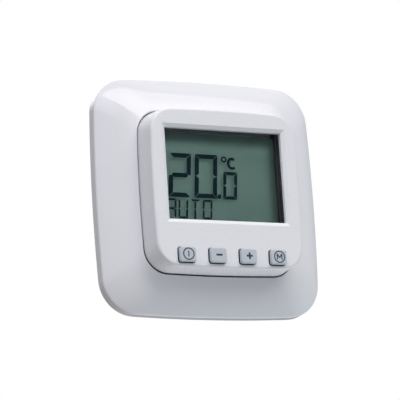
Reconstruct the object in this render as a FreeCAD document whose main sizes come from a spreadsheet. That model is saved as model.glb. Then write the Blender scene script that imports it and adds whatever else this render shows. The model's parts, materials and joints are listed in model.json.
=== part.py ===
import FreeCAD, Part
import math
import os
import re

import Sketcher

# Flush-mounted room thermostat, in millimetres. The origin is the centre of the wall plane:
# +X to the right as seen from the room, +Y into the wall, +Z up. "Proud" is the distance out
# from the wall plane towards the room, so a point that is 10 proud lies at y = -10, and what
# sits inside the wall box has a negative proud.

DIMENSIONS = [
    # outer frame
    ("frame_size", 81.0, "across the middle of opposite sides"),
    ("frame_corner", 12.2, "corner radius of the outline"),
    ("frame_bow", 0.64, "how far each side bows out"),
    ("frame_rim", 3.5, "height of the upright rim"),
    ("frame_lean", 0.17, "how far the rim leans in"),
    ("frame_rise", 10.2, "height of the crown at the opening"),
    ("frame_wall", 2.0, "moulded wall"),
    ("crown_share", 0.33, "share of the crown that is a plain slope, the rest is curve"),
    ("collar_wall", 1.6, "wall of the collar round the opening"),
    ("ledge_width", 1.4, "ledge that the cover's skirt clamps"),
    ("screw_access", 18.0, "width of the notch over each box screw"),
    ("screw_headroom", 3.2, "height of that notch above the bridge"),
    # front cover
    ("cover_size", 54.94, "skirt, across the middle of opposite sides"),
    ("cover_corner", 8.06, "corner radius"),
    ("cover_bow", 0.34, "how far each side bows out"),
    ("cover_draft", 0.67, "how far the face stands in from the skirt"),
    ("cover_proud", 18.75, "face, out from the wall"),
    ("cover_seat", 4.2, "lower edge of the skirt"),
    ("cover_wall", 1.5, "side wall"),
    ("cover_skin", 2.0, "front wall"),
    ("cover_round", 1.3, "rounding of the front edge"),
    ("cover_gap", 0.35, "gap between cover and frame"),
    ("hook_width", 8.0, "snap hook"),
    ("hook_depth", 1.2, "snap hook, along the pull"),
    ("hook_bite", 0.6, "how far a hook enters the carrier"),
    # window and display
    ("window_width", 42.7, "clear opening"),
    ("window_height", 30.7, "clear opening"),
    ("window_centre", 4.6, "height of the opening's centre"),
    ("window_bevel", 1.2, "bevel round the opening"),
    ("bevel_depth", 0.7, "depth of that bevel"),
    ("pane_lap", 1.45, "how far the clear pane laps the opening"),
    ("pane_thick", 1.0, "clear pane"),
    ("display_proud", 14.6, "front of the display glass"),
    ("glass_thick", 1.1, "each display plate"),
    ("glass_side_lap", 0.25, "display plates beyond the window, each side"),
    ("glass_end_lap", 1.45, "front display plate beyond the window, above and below"),
    ("glass_ledge", 1.8, "contact ledge above and below the rear plate"),
    ("reflector_short", 1.35, "reflector foil short of the window, each side"),
    ("reflector_thick", 0.25, "reflector foil"),
    ("strip_thick", 1.4, "rubber contact strip"),
    ("strip_short", 1.6, "contact strip short of the glass, each end"),
    ("holder_side", 2.2, "holder beyond the glass, left and right"),
    ("holder_end", 2.4, "holder beyond the glass, above and below"),
    ("holder_corner", 6.0, "corner radius of the holder"),
    ("holder_lip", 0.7, "lip over the glass"),
    ("lip_side_lap", 0.6, "lip over the glass, left and right"),
    ("glass_play", 0.2, "play round the glass in its holder"),
    # buttons and their switches
    ("button_pitch", 11.0, "between neighbouring buttons"),
    ("button_width", 5.7, "cap"),
    ("button_height", 4.7, "cap"),
    ("button_corner", 0.6, "corner radius of the cap"),
    ("button_round", 0.3, "rounding of the cap's front edge"),
    ("button_edge", 4.67, "from the cover's lower side up to the caps' centres"),
    ("button_proud", 1.6, "cap, out from the cover's face"),
    ("button_gap", 0.3, "gap round the cap"),
    ("button_travel", 0.5, "stroke"),
    ("flange_side", 0.75, "flange beyond the cap, each side"),
    ("flange_above", 1.0, "flange above the cap"),
    ("flange_inset", 0.6, "flange short of the cap below"),
    ("flange_thick", 1.2, "flange"),
    ("stem_radius", 1.5, "stem under the flange"),
    ("switch_size", 4.5, "switch housing"),
    ("switch_height", 3.5, "switch housing"),
    ("switch_rise", 0.6, "switches above the caps' centres"),
    ("plunger_radius", 1.2, "switch plunger"),
    ("plunger_play", 0.08, "play round the plunger"),
    ("plunger_depth", 1.6, "plunger inside its housing"),
    ("plunger_reach", 0.5, "plunger and stem meet this far beyond the stroke"),
    ("bore_play", 0.1, "bore deeper than the pressed plunger"),
    # control board and what it carries
    ("board_inset", 0.2, "control board short of the carrier, each side"),
    ("board_corner", 6.0, "control board"),
    ("board_thick", 1.6, "both boards"),
    ("board_proud", 8.0, "rear face of the control board"),
    ("board_screw_inset", 3.2, "control board screws, in from the carrier's sides"),
    ("board_screw_rise", 4.8, "control board screws above the switches"),
    ("board_screw_radius", 1.0, "control board screw"),
    ("board_screw_depth", 4.0, "control board screw behind the board"),
    ("board_head_radius", 1.9, "control board screw head"),
    ("board_head_height", 1.2, "control board screw head"),
    ("chip_size", 10.0, "controller"),
    ("chip_thick", 1.4, "controller"),
    ("lead_length", 1.0, "controller leads"),
    ("lead_width", 0.4, "controller leads"),
    ("lead_thick", 0.25, "controller leads"),
    ("reserve_radius", 5.25, "backup capacitor"),
    ("reserve_height", 4.0, "backup capacitor"),
    ("reserve_x", 13.0, "backup capacitor"),
    ("reserve_z", -4.0, "backup capacitor"),
    ("crystal_radius", 1.0, "clock crystal"),
    ("crystal_length", 6.0, "clock crystal"),
    ("crystal_x", -10.0, "clock crystal"),
    ("crystal_z", 2.0, "lower end of the clock crystal"),
    ("resistor_length", 2.0, "chip resistor"),
    ("resistor_width", 1.2, "chip resistor"),
    ("resistor_thick", 0.5, "chip resistor"),
    ("resistor_pitch", 3.0, "between neighbouring resistors, both ways"),
    ("resistor_left", -14.0, "left side of the resistors"),
    ("resistor_bottom", 14.0, "height of the resistors' lower side"),
    ("sensor_radius", 1.2, "air sensor bead"),
    ("sensor_height", 3.0, "air sensor bead above the board"),
    ("sensor_inset", 2.2, "air sensor, in from the board's left side"),
    ("sensor_rise", 3.3, "air sensor above the board's lower side"),
    ("sensor_spread", 0.6, "air sensor's wires, out from its middle"),
    ("lead_radius", 0.25, "wire leads"),
    # carrier, bridge and their screws
    ("carrier_gap", 1.37, "gap between carrier and cover"),
    ("carrier_wall", 1.6, "carrier"),
    ("boss_radius", 2.0, "carrier boss"),
    ("boss_shift", 0.6, "carrier boss nearer the middle than its screw"),
    ("pilot_depth", 4.5, "pilot hole in a carrier boss"),
    ("catch_play", 0.3, "play round a hook in its catch"),
    ("bridge_gap", 3.0, "gap between bridge and frame"),
    ("bridge_corner", 8.0, "mounting bridge"),
    ("bridge_thick", 1.2, "mounting bridge"),
    ("screw_land", 2.0, "bridge between a screw's centre and the opening"),
    ("opening_corner", 4.0, "corner radius of that opening"),
    ("screw_spacing", 60.0, "between the wall box's screws"),
    ("slot_length", 7.0, "slot for a box screw, end to end"),
    ("slot_radius", 2.0, "half the slot's width"),
    ("bridge_screw_inset", 7.5, "bridge screws, in from the housing's sides"),
    ("bridge_screw_radius", 1.25, "bridge screw"),
    ("bridge_screw_length", 8.8, "bridge screw under its head"),
    ("screw_head_radius", 2.25, "bridge screw head"),
    ("screw_head_height", 1.4, "bridge screw head"),
    ("screw_play", 0.1, "play round a screw in a through hole"),
    ("thread_play", 0.03, "play round a screw in its pilot hole"),
    # housing in the wall box
    ("housing_size", 48.0, "housing"),
    ("housing_corner", 16.0, "housing"),
    ("housing_depth", 27.0, "housing, into the wall"),
    ("housing_wall", 1.6, "housing"),
    ("housing_boss", 2.8, "radius of a screw boss"),
    ("boss_length", 10.0, "screw boss"),
    ("boss_end", 1.0, "closed end of a screw boss"),
    ("step_height", -11.5, "height of the terminal step"),
    ("step_depth", 17.8, "depth of the terminal step"),
    ("post_x", 19.6, "posts under the power board, out from the centre"),
    ("post_z", 2.0, "height of those posts"),
    ("post_radius", 1.8, "those posts"),
    # power board and what it carries
    ("power_board_depth", 4.0, "front of the power board, into the wall"),
    ("power_board_play", 0.4, "gap between power board and housing"),
    ("boss_play", 0.3, "gap between power board and boss"),
    ("relay_width", 28.6, "relay"),
    ("relay_height", 12.6, "relay"),
    ("relay_depth", 15.6, "relay"),
    ("relay_bottom", 0.6, "height of the relay's lower side"),
    ("case_round", 0.8, "corner radius of the relay and the film capacitor"),
    ("film_width", 18.0, "film capacitor"),
    ("film_height", 7.6, "film capacitor"),
    ("film_depth", 13.0, "film capacitor"),
    ("film_left", -13.0, "left side of the film capacitor"),
    ("film_bottom", -9.2, "height of the film capacitor's lower side"),
    ("film_leg_inset", 2.0, "film capacitor's wires, in from its ends"),
    ("can_radius", 3.9, "electrolytic capacitor"),
    ("can_depth", 12.0, "electrolytic capacitor"),
    ("can_x", 12.5, "electrolytic capacitor"),
    ("can_z", -5.4, "electrolytic capacitor"),
    ("can_leg_reach", 1.8, "electrolytic capacitor's wires, out from its middle"),
    ("varistor_radius", 4.5, "varistor"),
    ("varistor_thick", 3.6, "varistor"),
    ("varistor_x", -5.5, "varistor"),
    ("varistor_z", 17.2, "varistor"),
    ("varistor_leg_reach", 2.5, "varistor's wires, out from its middle"),
    ("fuse_radius", 3.9, "fuse"),
    ("fuse_depth", 8.0, "fuse"),
    ("fuse_x", 6.0, "fuse"),
    ("fuse_z", 17.6, "fuse"),
    ("fuse_leg_reach", 2.5, "fuse's wires, out from its middle"),
    ("rectifier_width", 8.5, "bridge rectifier"),
    ("rectifier_height", 6.4, "bridge rectifier"),
    ("rectifier_thick", 2.6, "bridge rectifier"),
    ("rectifier_x", 0.0, "bridge rectifier"),
    ("rectifier_z", -1.4, "bridge rectifier"),
    ("component_lift", 0.8, "varistor standing off its board"),
    ("solder_radius", 0.7, "solder joint"),
    ("solder_height", 0.6, "solder joint"),
    # board-to-board header
    ("pin_pitch", 2.54, "header"),
    ("pin_side", 0.64, "header pins"),
    ("header_z", -9.0, "height of the header"),
    ("header_base", 2.5, "header base"),
    ("socket_top", 4.2, "socket, out from the wall"),
    ("pin_play", 0.05, "play round a pin in its socket"),
    ("pin_tip", 1.5, "how far the pins reach into the wall"),
    # terminals
    ("terminal_pitch", 5.08, "terminals"),
    ("terminal_depth", 12.0, "terminal block, into the wall"),
    ("terminal_top", -12.2, "height of the block's upper side"),
    ("terminal_bottom", -23.7, "height of the wire side"),
    ("wire_entry", 3.6, "wire entry, square"),
    ("wire_entry_depth", 7.0, "wire entry"),
    ("wire_entry_place", 5.4, "wire entry's centre behind the power board"),
    ("terminal_leg_drop", 2.5, "terminal legs below the block's upper side"),
    ("clamp_wall", 0.45, "cage clamp"),
    ("clamp_inset", 3.2, "cage clamp, in from the wire side"),
    ("clamp_length", 3.6, "cage clamp"),
    ("terminal_screw_inset", 5.0, "terminal screws, in from the wire side"),
    ("terminal_thread_radius", 1.2, "terminal screw shank"),
    ("terminal_head_sink", 0.6, "terminal screw head below the block's rear face"),
    ("terminal_head_radius", 1.75, "terminal screw head"),
    ("terminal_head_height", 1.6, "terminal screw head"),
    ("terminal_play", 0.1, "play inside the block"),
    ("slit_width", 0.5, "driver slot"),
    ("slit_depth", 0.6, "driver slot"),
    ("overrun", 1.0, "how far a cutter runs past the face it opens"),
]

BUTTONS = ["power", "minus", "plus", "mode"]
HEADER_PINS = 6
TERMINALS = 5
CROWN_SECTIONS = 5
LEADS_PER_SIDE = 8
RESISTOR_ROWS = 2
RESISTORS_PER_ROW = 5
# the relay's legs, as shares of half its width from its middle, and of its height from below
RELAY_LEG_SHARES_ACROSS = (-0.8, -0.1, 0.8)
RELAY_LEG_SHARES_UP = (0.2, 0.8)
SHEET_NAMES = {name for name, size, note in DIMENSIONS}
NAME = r"(?<![.\w])[a-z][a-z_]*"
# sizes that follow from the sheet's values
POWER_REAR = "(-power_board_depth - board_thick)"
PLUNGER_TOP = "(board_proud + board_thick + switch_height + button_travel + plunger_reach)"
DERIVED = {
    "glass_width": "(window_width + 2 * glass_side_lap)",
    "glass_height": "(window_height + 2 * glass_end_lap)",
    "carrier_size": "(cover_size - 2 * cover_wall - 2 * carrier_gap)",
    "board_size": "(cover_size - 2 * cover_wall - 2 * carrier_gap - 2 * board_inset)",
    "board_screw_x": "(cover_size / 2 - cover_wall - carrier_gap - board_screw_inset)",
    "button_centre": "(button_edge - cover_size / 2)",
    "switch_centre": "(button_edge - cover_size / 2 + switch_rise)",
    "board_screw_z": "(button_edge - cover_size / 2 + switch_rise + board_screw_rise)",
    "screw_place": "(housing_size / 2 - bridge_screw_inset)",
}

doc = FreeCAD.newDocument("room_thermostat")
parts = []


# ---------------------------------------------------------------- document helpers


def fill_sheet():
    sheet = doc.addObject("Spreadsheet::Sheet", "dims")
    for row, (name, size, note) in enumerate(DIMENSIONS, start=1):
        sheet.set(f"A{row}", name)
        sheet.set(f"B{row}", str(size))
        sheet.set(f"C{row}", note)
        sheet.setAlias(f"B{row}", name)
    doc.recompute()


def in_cells(formula):
    """The formula with derived sizes spelled out and each dimension's name pointed at its cell."""
    def spell(word):
        return DERIVED.get(word[0], word[0])

    def cell(word):
        return f"dims.{word[0]}" if word[0] in SHEET_NAMES else word[0]

    return re.sub(NAME, cell, re.sub(NAME, spell, formula))


def bind(thing, prop, formula):
    thing.setExpression(prop, in_cells(formula))


def measure(thing, name, formula):
    """Give a feature a size of its own, worked out from the sheet, and read it back."""
    thing.addProperty("App::PropertyFloat", name, "Sizes", formula)
    bind(thing, name, formula)
    thing.recompute()
    return getattr(thing, name)


def finish(thing, label):
    """Name a finished sub-part, and keep it for the export."""
    thing.Label = label
    parts.append(thing)
    return thing


def block(name, x, proud, z):
    """A box between three pairs of formulas."""
    box = doc.addObject("Part::Box", name)
    bind(box, "Length", f"({x[1]}) - ({x[0]})")
    bind(box, "Width", f"({proud[1]}) - ({proud[0]})")
    bind(box, "Height", f"({z[1]}) - ({z[0]})")
    bind(box, ".Placement.Base.x", x[0])
    bind(box, ".Placement.Base.y", f"-({proud[1]})")
    bind(box, ".Placement.Base.z", z[0])
    return box


def rod(name, x, z, radius, proud):
    """A cylinder that stands square to the wall, between two formulas of proud."""
    cylinder = doc.addObject("Part::Cylinder", name)
    outward = FreeCAD.Rotation(FreeCAD.Vector(1, 0, 0), 90)
    cylinder.Placement = FreeCAD.Placement(FreeCAD.Vector(0, 0, 0), outward)
    bind(cylinder, "Radius", radius)
    bind(cylinder, "Height", f"({proud[1]}) - ({proud[0]})")
    bind(cylinder, ".Placement.Base.x", x)
    bind(cylinder, ".Placement.Base.y", f"-({proud[0]})")
    bind(cylinder, ".Placement.Base.z", z)
    return cylinder


def lying_rod(name, x, proud, z, radius, along):
    """A cylinder that lies along X or Z; the pair of formulas is the axis it runs along."""
    cylinder = doc.addObject("Part::Cylinder", name)
    if along == "x":
        turn = FreeCAD.Rotation(FreeCAD.Vector(0, 1, 0), 90)
        start, end, place = x[0], x[1], (x[0], f"-({proud})", z)
    else:
        turn = FreeCAD.Rotation()
        start, end, place = z[0], z[1], (x, f"-({proud})", z[0])
    cylinder.Placement = FreeCAD.Placement(FreeCAD.Vector(0, 0, 0), turn)
    bind(cylinder, "Radius", radius)
    bind(cylinder, "Height", f"({end}) - ({start})")
    for axis, formula in zip("xyz", place):
        bind(cylinder, f".Placement.Base.{axis}", formula)
    return cylinder


def fuse(name, shapes):
    union = doc.addObject("Part::MultiFuse", name)
    union.Shapes = shapes
    return union


def cut(name, base, tools):
    difference = doc.addObject("Part::Cut", name)
    difference.Base = base
    difference.Tool = tools[0] if len(tools) == 1 else fuse(f"{name}_cutters", tools)
    return difference


def group(name, shapes):
    """Identical pieces that share one node as separate solids."""
    bundle = doc.addObject("Part::Compound", name)
    bundle.Links = shapes
    return bundle


def new_body(label):
    return finish(doc.addObject("PartDesign::Body", label), label)


def sketch_at(body, name, proud):
    """An empty sketch square to the wall axis; its normal points out into the room."""
    plane = next(item for item in body.Origin.OriginFeatures if item.Role == "XZ_Plane")
    sketch = body.newObject("Sketcher::SketchObject", name)
    sketch.AttachmentSupport = [(plane, "")]
    sketch.MapMode = "FlatFace"
    bind(sketch, ".AttachmentOffset.Base.z", proud)
    return sketch


def hold(sketch, name, constraint, formula):
    """Add a dimension to a sketch and tie it to a formula."""
    sketch.renameConstraint(sketch.addConstraint(constraint), name)
    bind(sketch, f"Constraints.{name}", formula)


def draw_rectangle(sketch, tag, x, z, corner=None):
    """A rectangle between pairs of formulas, with tangent corner arcs where corner is given."""
    left, right = (measure(sketch, f"{tag}_x_{i}", x[i]) for i in (0, 1))
    low, high = (measure(sketch, f"{tag}_z_{i}", z[i]) for i in (0, 1))
    r = measure(sketch, f"{tag}_corner", corner) if corner else 0.0
    runs = [
        ((right, low + r), (right, high - r)),
        ((right - r, high), (left + r, high)),
        ((left, high - r), (left, low + r)),
        ((left + r, low), (right - r, low)),
    ]
    lines = [
        sketch.addGeometry(Part.LineSegment(FreeCAD.Vector(*a, 0), FreeCAD.Vector(*b, 0)))
        for a, b in runs
    ]
    centres = [(right - r, high - r), (left + r, high - r), (left + r, low + r), (right - r, low + r)]
    if corner:
        arcs = []
        for turn, centre in enumerate(centres):
            circle = Part.Circle(FreeCAD.Vector(*centre, 0), FreeCAD.Vector(0, 0, 1), r)
            start = turn * math.pi / 2
            arcs.append(sketch.addGeometry(Part.ArcOfCircle(circle, start, start + math.pi / 2)))
        for i in range(4):
            sketch.addConstraint(Sketcher.Constraint("Tangent", lines[i], 2, arcs[i], 1))
            sketch.addConstraint(Sketcher.Constraint("Tangent", arcs[i], 2, lines[(i + 1) % 4], 1))
            radius = Sketcher.Constraint("Radius", arcs[i], r)
            hold(sketch, f"{tag}_radius_{i}", radius, f".{tag}_corner")
    else:
        for i in range(4):
            sketch.addConstraint(Sketcher.Constraint("Coincident", lines[i], 2, lines[(i + 1) % 4], 1))
    for i, way in enumerate(["Vertical", "Horizontal", "Vertical", "Horizontal"]):
        sketch.addConstraint(Sketcher.Constraint(way, lines[i]))
    places = [("X", 0, right, "x_1"), ("Y", 1, high, "z_1"), ("X", 2, left, "x_0"), ("Y", 3, low, "z_0")]
    for axis, i, size, name in places:
        distance = Sketcher.Constraint(f"Distance{axis}", -1, 1, lines[i], 1, size)
        hold(sketch, f"{tag}_side_{i}", distance, f".{tag}_{name}")


def draw_circle(sketch, tag, x, z, radius):
    centre = (measure(sketch, f"{tag}_x", x), measure(sketch, f"{tag}_z", z))
    r = measure(sketch, f"{tag}_r", radius)
    circle = Part.Circle(FreeCAD.Vector(*centre, 0), FreeCAD.Vector(0, 0, 1), r)
    index = sketch.addGeometry(circle)
    place_x = Sketcher.Constraint("DistanceX", -1, 1, index, 3, centre[0])
    place_z = Sketcher.Constraint("DistanceY", -1, 1, index, 3, centre[1])
    hold(sketch, f"{tag}_place_x", place_x, f".{tag}_x")
    hold(sketch, f"{tag}_place_z", place_z, f".{tag}_z")
    hold(sketch, f"{tag}_radius", Sketcher.Constraint("Radius", index, r), f".{tag}_r")


def draw_slot(sketch, tag, x, z, upright):
    """A round-ended slot for a box screw, centred on a pair of formulas."""
    centre = FreeCAD.Vector(measure(sketch, f"{tag}_x", x), measure(sketch, f"{tag}_z", z), 0)
    reach = measure(sketch, f"{tag}_reach", "slot_length / 2 - slot_radius")
    r = measure(sketch, f"{tag}_r", "slot_radius")
    along = FreeCAD.Vector(0, 1, 0) if upright else FreeCAD.Vector(1, 0, 0)
    across = FreeCAD.Vector(0, 0, 1).cross(along)
    angle = math.pi / 2 if upright else 0.0
    far, near = centre + along * reach, centre - along * reach
    shapes = []
    for end, start in [(far, angle - math.pi / 2), (near, angle + math.pi / 2)]:
        circle = Part.Circle(end, FreeCAD.Vector(0, 0, 1), r)
        shapes.append(Part.ArcOfCircle(circle, start, start + math.pi))
    shapes.insert(1, Part.LineSegment(far + across * r, near + across * r))
    shapes.append(Part.LineSegment(near - across * r, far - across * r))
    indexes = [sketch.addGeometry(shape) for shape in shapes]
    for i, index in enumerate(indexes):
        sketch.addConstraint(Sketcher.Constraint("Tangent", index, 2, indexes[(i + 1) % 4], 1))
    for index, end, sign in [(indexes[0], far, "+"), (indexes[2], near, "-")]:
        shift_x, shift_z = ("", f" {sign} .{tag}_reach") if upright else (f" {sign} .{tag}_reach", "")
        name = f"{tag}_{index}"
        distance = Sketcher.Constraint("DistanceX", -1, 1, index, 3, end.x)
        hold(sketch, f"{name}_x", distance, f".{tag}_x{shift_x}")
        distance = Sketcher.Constraint("DistanceY", -1, 1, index, 3, end.y)
        hold(sketch, f"{name}_z", distance, f".{tag}_z{shift_z}")
        hold(sketch, f"{name}_r", Sketcher.Constraint("Radius", index, r), f".{tag}_r")


def draw_bowed_square(sketch, half, corner, bow):
    """Four shallow side arcs and four corner arcs, each tangent to the next."""
    half_size = measure(sketch, "half_size", half)
    r = measure(sketch, "corner_size", corner)
    measure(sketch, "bow_size", bow)
    side_formula = "((.half_size - .corner_size)^2 + .bow_size^2) / (2 * .bow_size)"
    side = measure(sketch, "side_radius", side_formula)
    offset = measure(sketch, "side_offset", ".half_size - .side_radius")
    # the corner circle touches the side circle from inside: |(c - offset, c)| = side - r
    c = (offset + math.sqrt(2 * (side - r) ** 2 - offset ** 2)) / 2
    swing = math.atan2(c, c - offset)
    upright = FreeCAD.Vector(0, 0, 1)
    arcs = []
    for turn in range(4):
        angle = turn * math.pi / 2
        centre = FreeCAD.Vector(offset * math.cos(angle), offset * math.sin(angle), 0)
        circle = Part.Circle(centre, upright, side)
        arcs.append(sketch.addGeometry(Part.ArcOfCircle(circle, angle - swing, angle + swing)))
        diagonal = angle + math.pi / 4
        reach = c * math.sqrt(2)
        centre = FreeCAD.Vector(reach * math.cos(diagonal), reach * math.sin(diagonal), 0)
        circle = Part.Circle(centre, upright, r)
        end = angle + math.pi / 2 - swing
        arcs.append(sketch.addGeometry(Part.ArcOfCircle(circle, angle + swing, end)))
    for i, arc in enumerate(arcs):
        sketch.addConstraint(Sketcher.Constraint("Tangent", arc, 2, arcs[(i + 1) % 8], 1))
    for turn in range(4):
        arc, axis, own_axis = arcs[2 * turn], "XY"[turn % 2], -1 - turn % 2
        sign = "-" if turn > 1 else ""
        centre = offset if turn < 2 else -offset
        sketch.addConstraint(Sketcher.Constraint("PointOnObject", arc, 3, own_axis))
        place = Sketcher.Constraint(f"Distance{axis}", -1, 1, arc, 3, centre)
        hold(sketch, f"side_place_{turn}", place, f"{sign}.side_offset")
        hold(sketch, f"side_radius_{turn}", Sketcher.Constraint("Radius", arc, side), ".side_radius")
        corner_radius = Sketcher.Constraint("Radius", arcs[2 * turn + 1], r)
        hold(sketch, f"corner_radius_{turn}", corner_radius, ".corner_size")


def bowed_sketch(body, name, proud, half, corner, bow):
    sketch = sketch_at(body, name, proud)
    draw_bowed_square(sketch, half, corner, bow)
    return sketch


def plate_sketch(body, name, proud, x, z, corner=None):
    sketch = sketch_at(body, name, proud)
    draw_rectangle(sketch, "edge", x, z, corner)
    return sketch


def centred(width):
    return (f"-({width}) / 2", f"({width}) / 2")


def volume(body):
    doc.recompute()
    return body.Shape.Volume


def add_feature(body, kind, sketch, length):
    """A Pad goes out into the room from its sketch, and a Pocket goes in towards the wall."""
    before = volume(body) if body.Tip else 0.0
    feature = body.newObject(f"PartDesign::{kind}", f"{sketch.Name}_{kind.lower()}")
    feature.Profile = sketch
    bind(feature, "Length", length)
    gained = volume(body) > before
    if gained != (kind == "Pad"):
        raise ValueError(f"{feature.Name} changed nothing")
    return feature


def pad(body, sketch, length):
    return add_feature(body, "Pad", sketch, length)


def pocket(body, sketch, length):
    return add_feature(body, "Pocket", sketch, length)


def loft(body, kind, sketches, ruled):
    feature = body.newObject(f"PartDesign::{kind}Loft", f"{sketches[0].Name}_loft")
    feature.Profile = sketches[0]
    feature.Sections = sketches[1:]
    feature.Ruled = ruled
    doc.recompute()
    return feature


def edges_at(shape, proud):
    """Names of the edges that lie flat at one distance from the wall."""
    flat = []
    for number, edge in enumerate(shape.Edges, start=1):
        if all(abs(vertex.Y + proud) < 1e-4 for vertex in edge.Vertexes):
            flat.append(f"Edge{number}")
    return flat


def round_front(body, name, radius):
    """Round the edges of the face that stands out furthest."""
    base = body.Tip
    doc.recompute()
    feature = body.newObject("PartDesign::Fillet", name)
    feature.Base = (base, edges_at(base.Shape, -base.Shape.BoundBox.YMin))
    bind(feature, "Radius", radius)
    doc.recompute()


def rounded_block(name, x, proud, z, corner):
    """A box with its four edges that stand square to the wall rounded."""
    sketch = doc.addObject("Sketcher::SketchObject", f"{name}_sketch")
    outward = FreeCAD.Rotation(FreeCAD.Vector(1, 0, 0), 90)
    sketch.Placement = FreeCAD.Placement(FreeCAD.Vector(0, 0, 0), outward)
    bind(sketch, ".Placement.Base.y", f"-({proud[0]})")
    draw_rectangle(sketch, "edge", x, z, corner)
    solid = doc.addObject("Part::Extrusion", name)
    solid.Base = sketch
    solid.DirMode = "Normal"
    solid.Solid = True
    bind(solid, "LengthFwd", f"({proud[1]}) - ({proud[0]})")
    return solid


# ---------------------------------------------------------------- frame and cover


def crown_sketches(body, prefix, inset):
    """Outlines up the crown of the frame, from the rim to the opening."""
    sketches = []
    for step in range(CROWN_SECTIONS):
        u = 1 - step / (CROWN_SECTIONS - 1)
        opening = "(cover_size / 2 + cover_gap)"
        rim = "(frame_size / 2 - frame_lean)"
        half = f"{opening} + {u} * ({rim} - {opening}) - {inset}"
        corner_gain = "(frame_corner - frame_lean - cover_corner - cover_gap)"
        corner = f"cover_corner + cover_gap + {u} * {corner_gain}"
        bow = f"cover_bow + {u} * (frame_bow - cover_bow)"
        drop = f"(frame_rise - frame_rim) * (crown_share * {u} + (1 - crown_share) * {u * u})"
        height = f"frame_rise - {drop} - {inset}"
        name = f"{prefix}_{step}"
        sketches.append(bowed_sketch(body, name, height, half, f"{corner} - {inset} / 2", bow))
    return sketches


def make_outer_frame():
    """Cover frame: a bowed square moulding, crowned to its opening, hollow behind."""
    body = new_body("outer_frame")
    foot = bowed_sketch(body, "rim_foot", "0", "frame_size / 2", "frame_corner", "frame_bow")
    crown = crown_sketches(body, "crown", "0")
    loft(body, "Additive", [foot, crown[0]], True)
    loft(body, "Additive", crown, False)
    inside = "frame_size / 2 - frame_wall"
    hollow_foot = bowed_sketch(
        body, "hollow_foot", "0", inside, "frame_corner - frame_wall", "frame_bow"
    )
    hollow = crown_sketches(body, "hollow", "frame_wall")
    loft(body, "Subtractive", [hollow_foot, hollow[0]], True)
    loft(body, "Subtractive", hollow, False)
    opening = "cover_size / 2 + cover_gap"
    opening_round = "cover_corner + cover_gap"
    collar = bowed_sketch(
        body, "collar", "bridge_thick", f"{opening} + collar_wall", f"{opening_round} + collar_wall",
        "cover_bow",
    )
    pad(body, collar, "frame_rise - bridge_thick - collar_wall / 2")
    mouth = bowed_sketch(body, "mouth", "frame_rise", opening, opening_round, "cover_bow")
    pocket(body, mouth, "frame_rise - cover_seat")
    throat = bowed_sketch(
        body, "throat", "cover_seat", f"{opening} - ledge_width", f"{opening_round} - ledge_width",
        "cover_bow",
    )
    pocket(body, throat, "cover_seat + overrun")
    reach = f"2 * ({opening} + collar_wall + overrun)"
    for name, x, z in [
        ("notch_across", centred(reach), centred("screw_access")),
        ("notch_upright", centred("screw_access"), centred(reach)),
    ]:
        notch = plate_sketch(body, name, "bridge_thick + screw_headroom", x, z)
        pocket(body, notch, "screw_headroom + overrun")
    return body


def make_front_cover():
    """Front cover: drafted shell with a bevelled window and four button openings."""
    body = new_body("front_cover")
    half = "cover_size / 2"
    face = "(cover_size / 2 - cover_draft)"
    skirt = bowed_sketch(body, "skirt", "cover_seat", half, "cover_corner", "cover_bow")
    pad(body, skirt, "frame_rise - cover_seat")
    waist = bowed_sketch(body, "waist", "frame_rise", half, "cover_corner", "cover_bow")
    brow = bowed_sketch(body, "brow", "cover_proud", face, "cover_corner", "cover_bow")
    loft(body, "Additive", [waist, brow], True)
    round_front(body, "front_edge", "cover_round")
    inner_round = "cover_corner - cover_wall"
    inner_waist = bowed_sketch(
        body, "inner_waist", "cover_seat", f"{half} - cover_wall", inner_round, "cover_bow"
    )
    inner_brow = bowed_sketch(
        body, "inner_brow", "cover_proud - cover_skin", f"{face} - cover_wall", inner_round, "cover_bow"
    )
    loft(body, "Subtractive", [inner_waist, inner_brow], True)
    z_low = "window_centre - window_height / 2"
    z_high = "window_centre + window_height / 2"
    outer = plate_sketch(
        body, "bevel_outer", "cover_proud", centred("window_width + 2 * window_bevel"),
        (f"{z_low} - window_bevel", f"{z_high} + window_bevel"),
    )
    inner = plate_sketch(
        body, "bevel_inner", "cover_proud - bevel_depth", centred("window_width"), (z_low, z_high)
    )
    loft(body, "Subtractive", [outer, inner], True)
    window = plate_sketch(body, "window", "cover_proud", centred("window_width"), (z_low, z_high))
    pocket(body, window, "cover_skin + overrun / 2")
    openings = sketch_at(body, "button_openings", "cover_proud")
    for place, button in enumerate(BUTTONS):
        x, z = button_box(place, "button_gap")
        draw_rectangle(openings, button, x, z, "button_corner + button_gap")
    pocket(body, openings, "cover_skin + overrun")
    for name, side in [("upper", 1), ("lower", -1)]:
        root = f"{side} * (cover_size / 2 - cover_wall / 2)"
        tip = f"{side} * (carrier_size / 2 - hook_bite)"
        z = (tip, root) if side > 0 else (root, tip)
        hook = plate_sketch(body, f"{name}_hook", "cover_seat", centred("hook_width"), z)
        pad(body, hook, "hook_depth")
    return body


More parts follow.
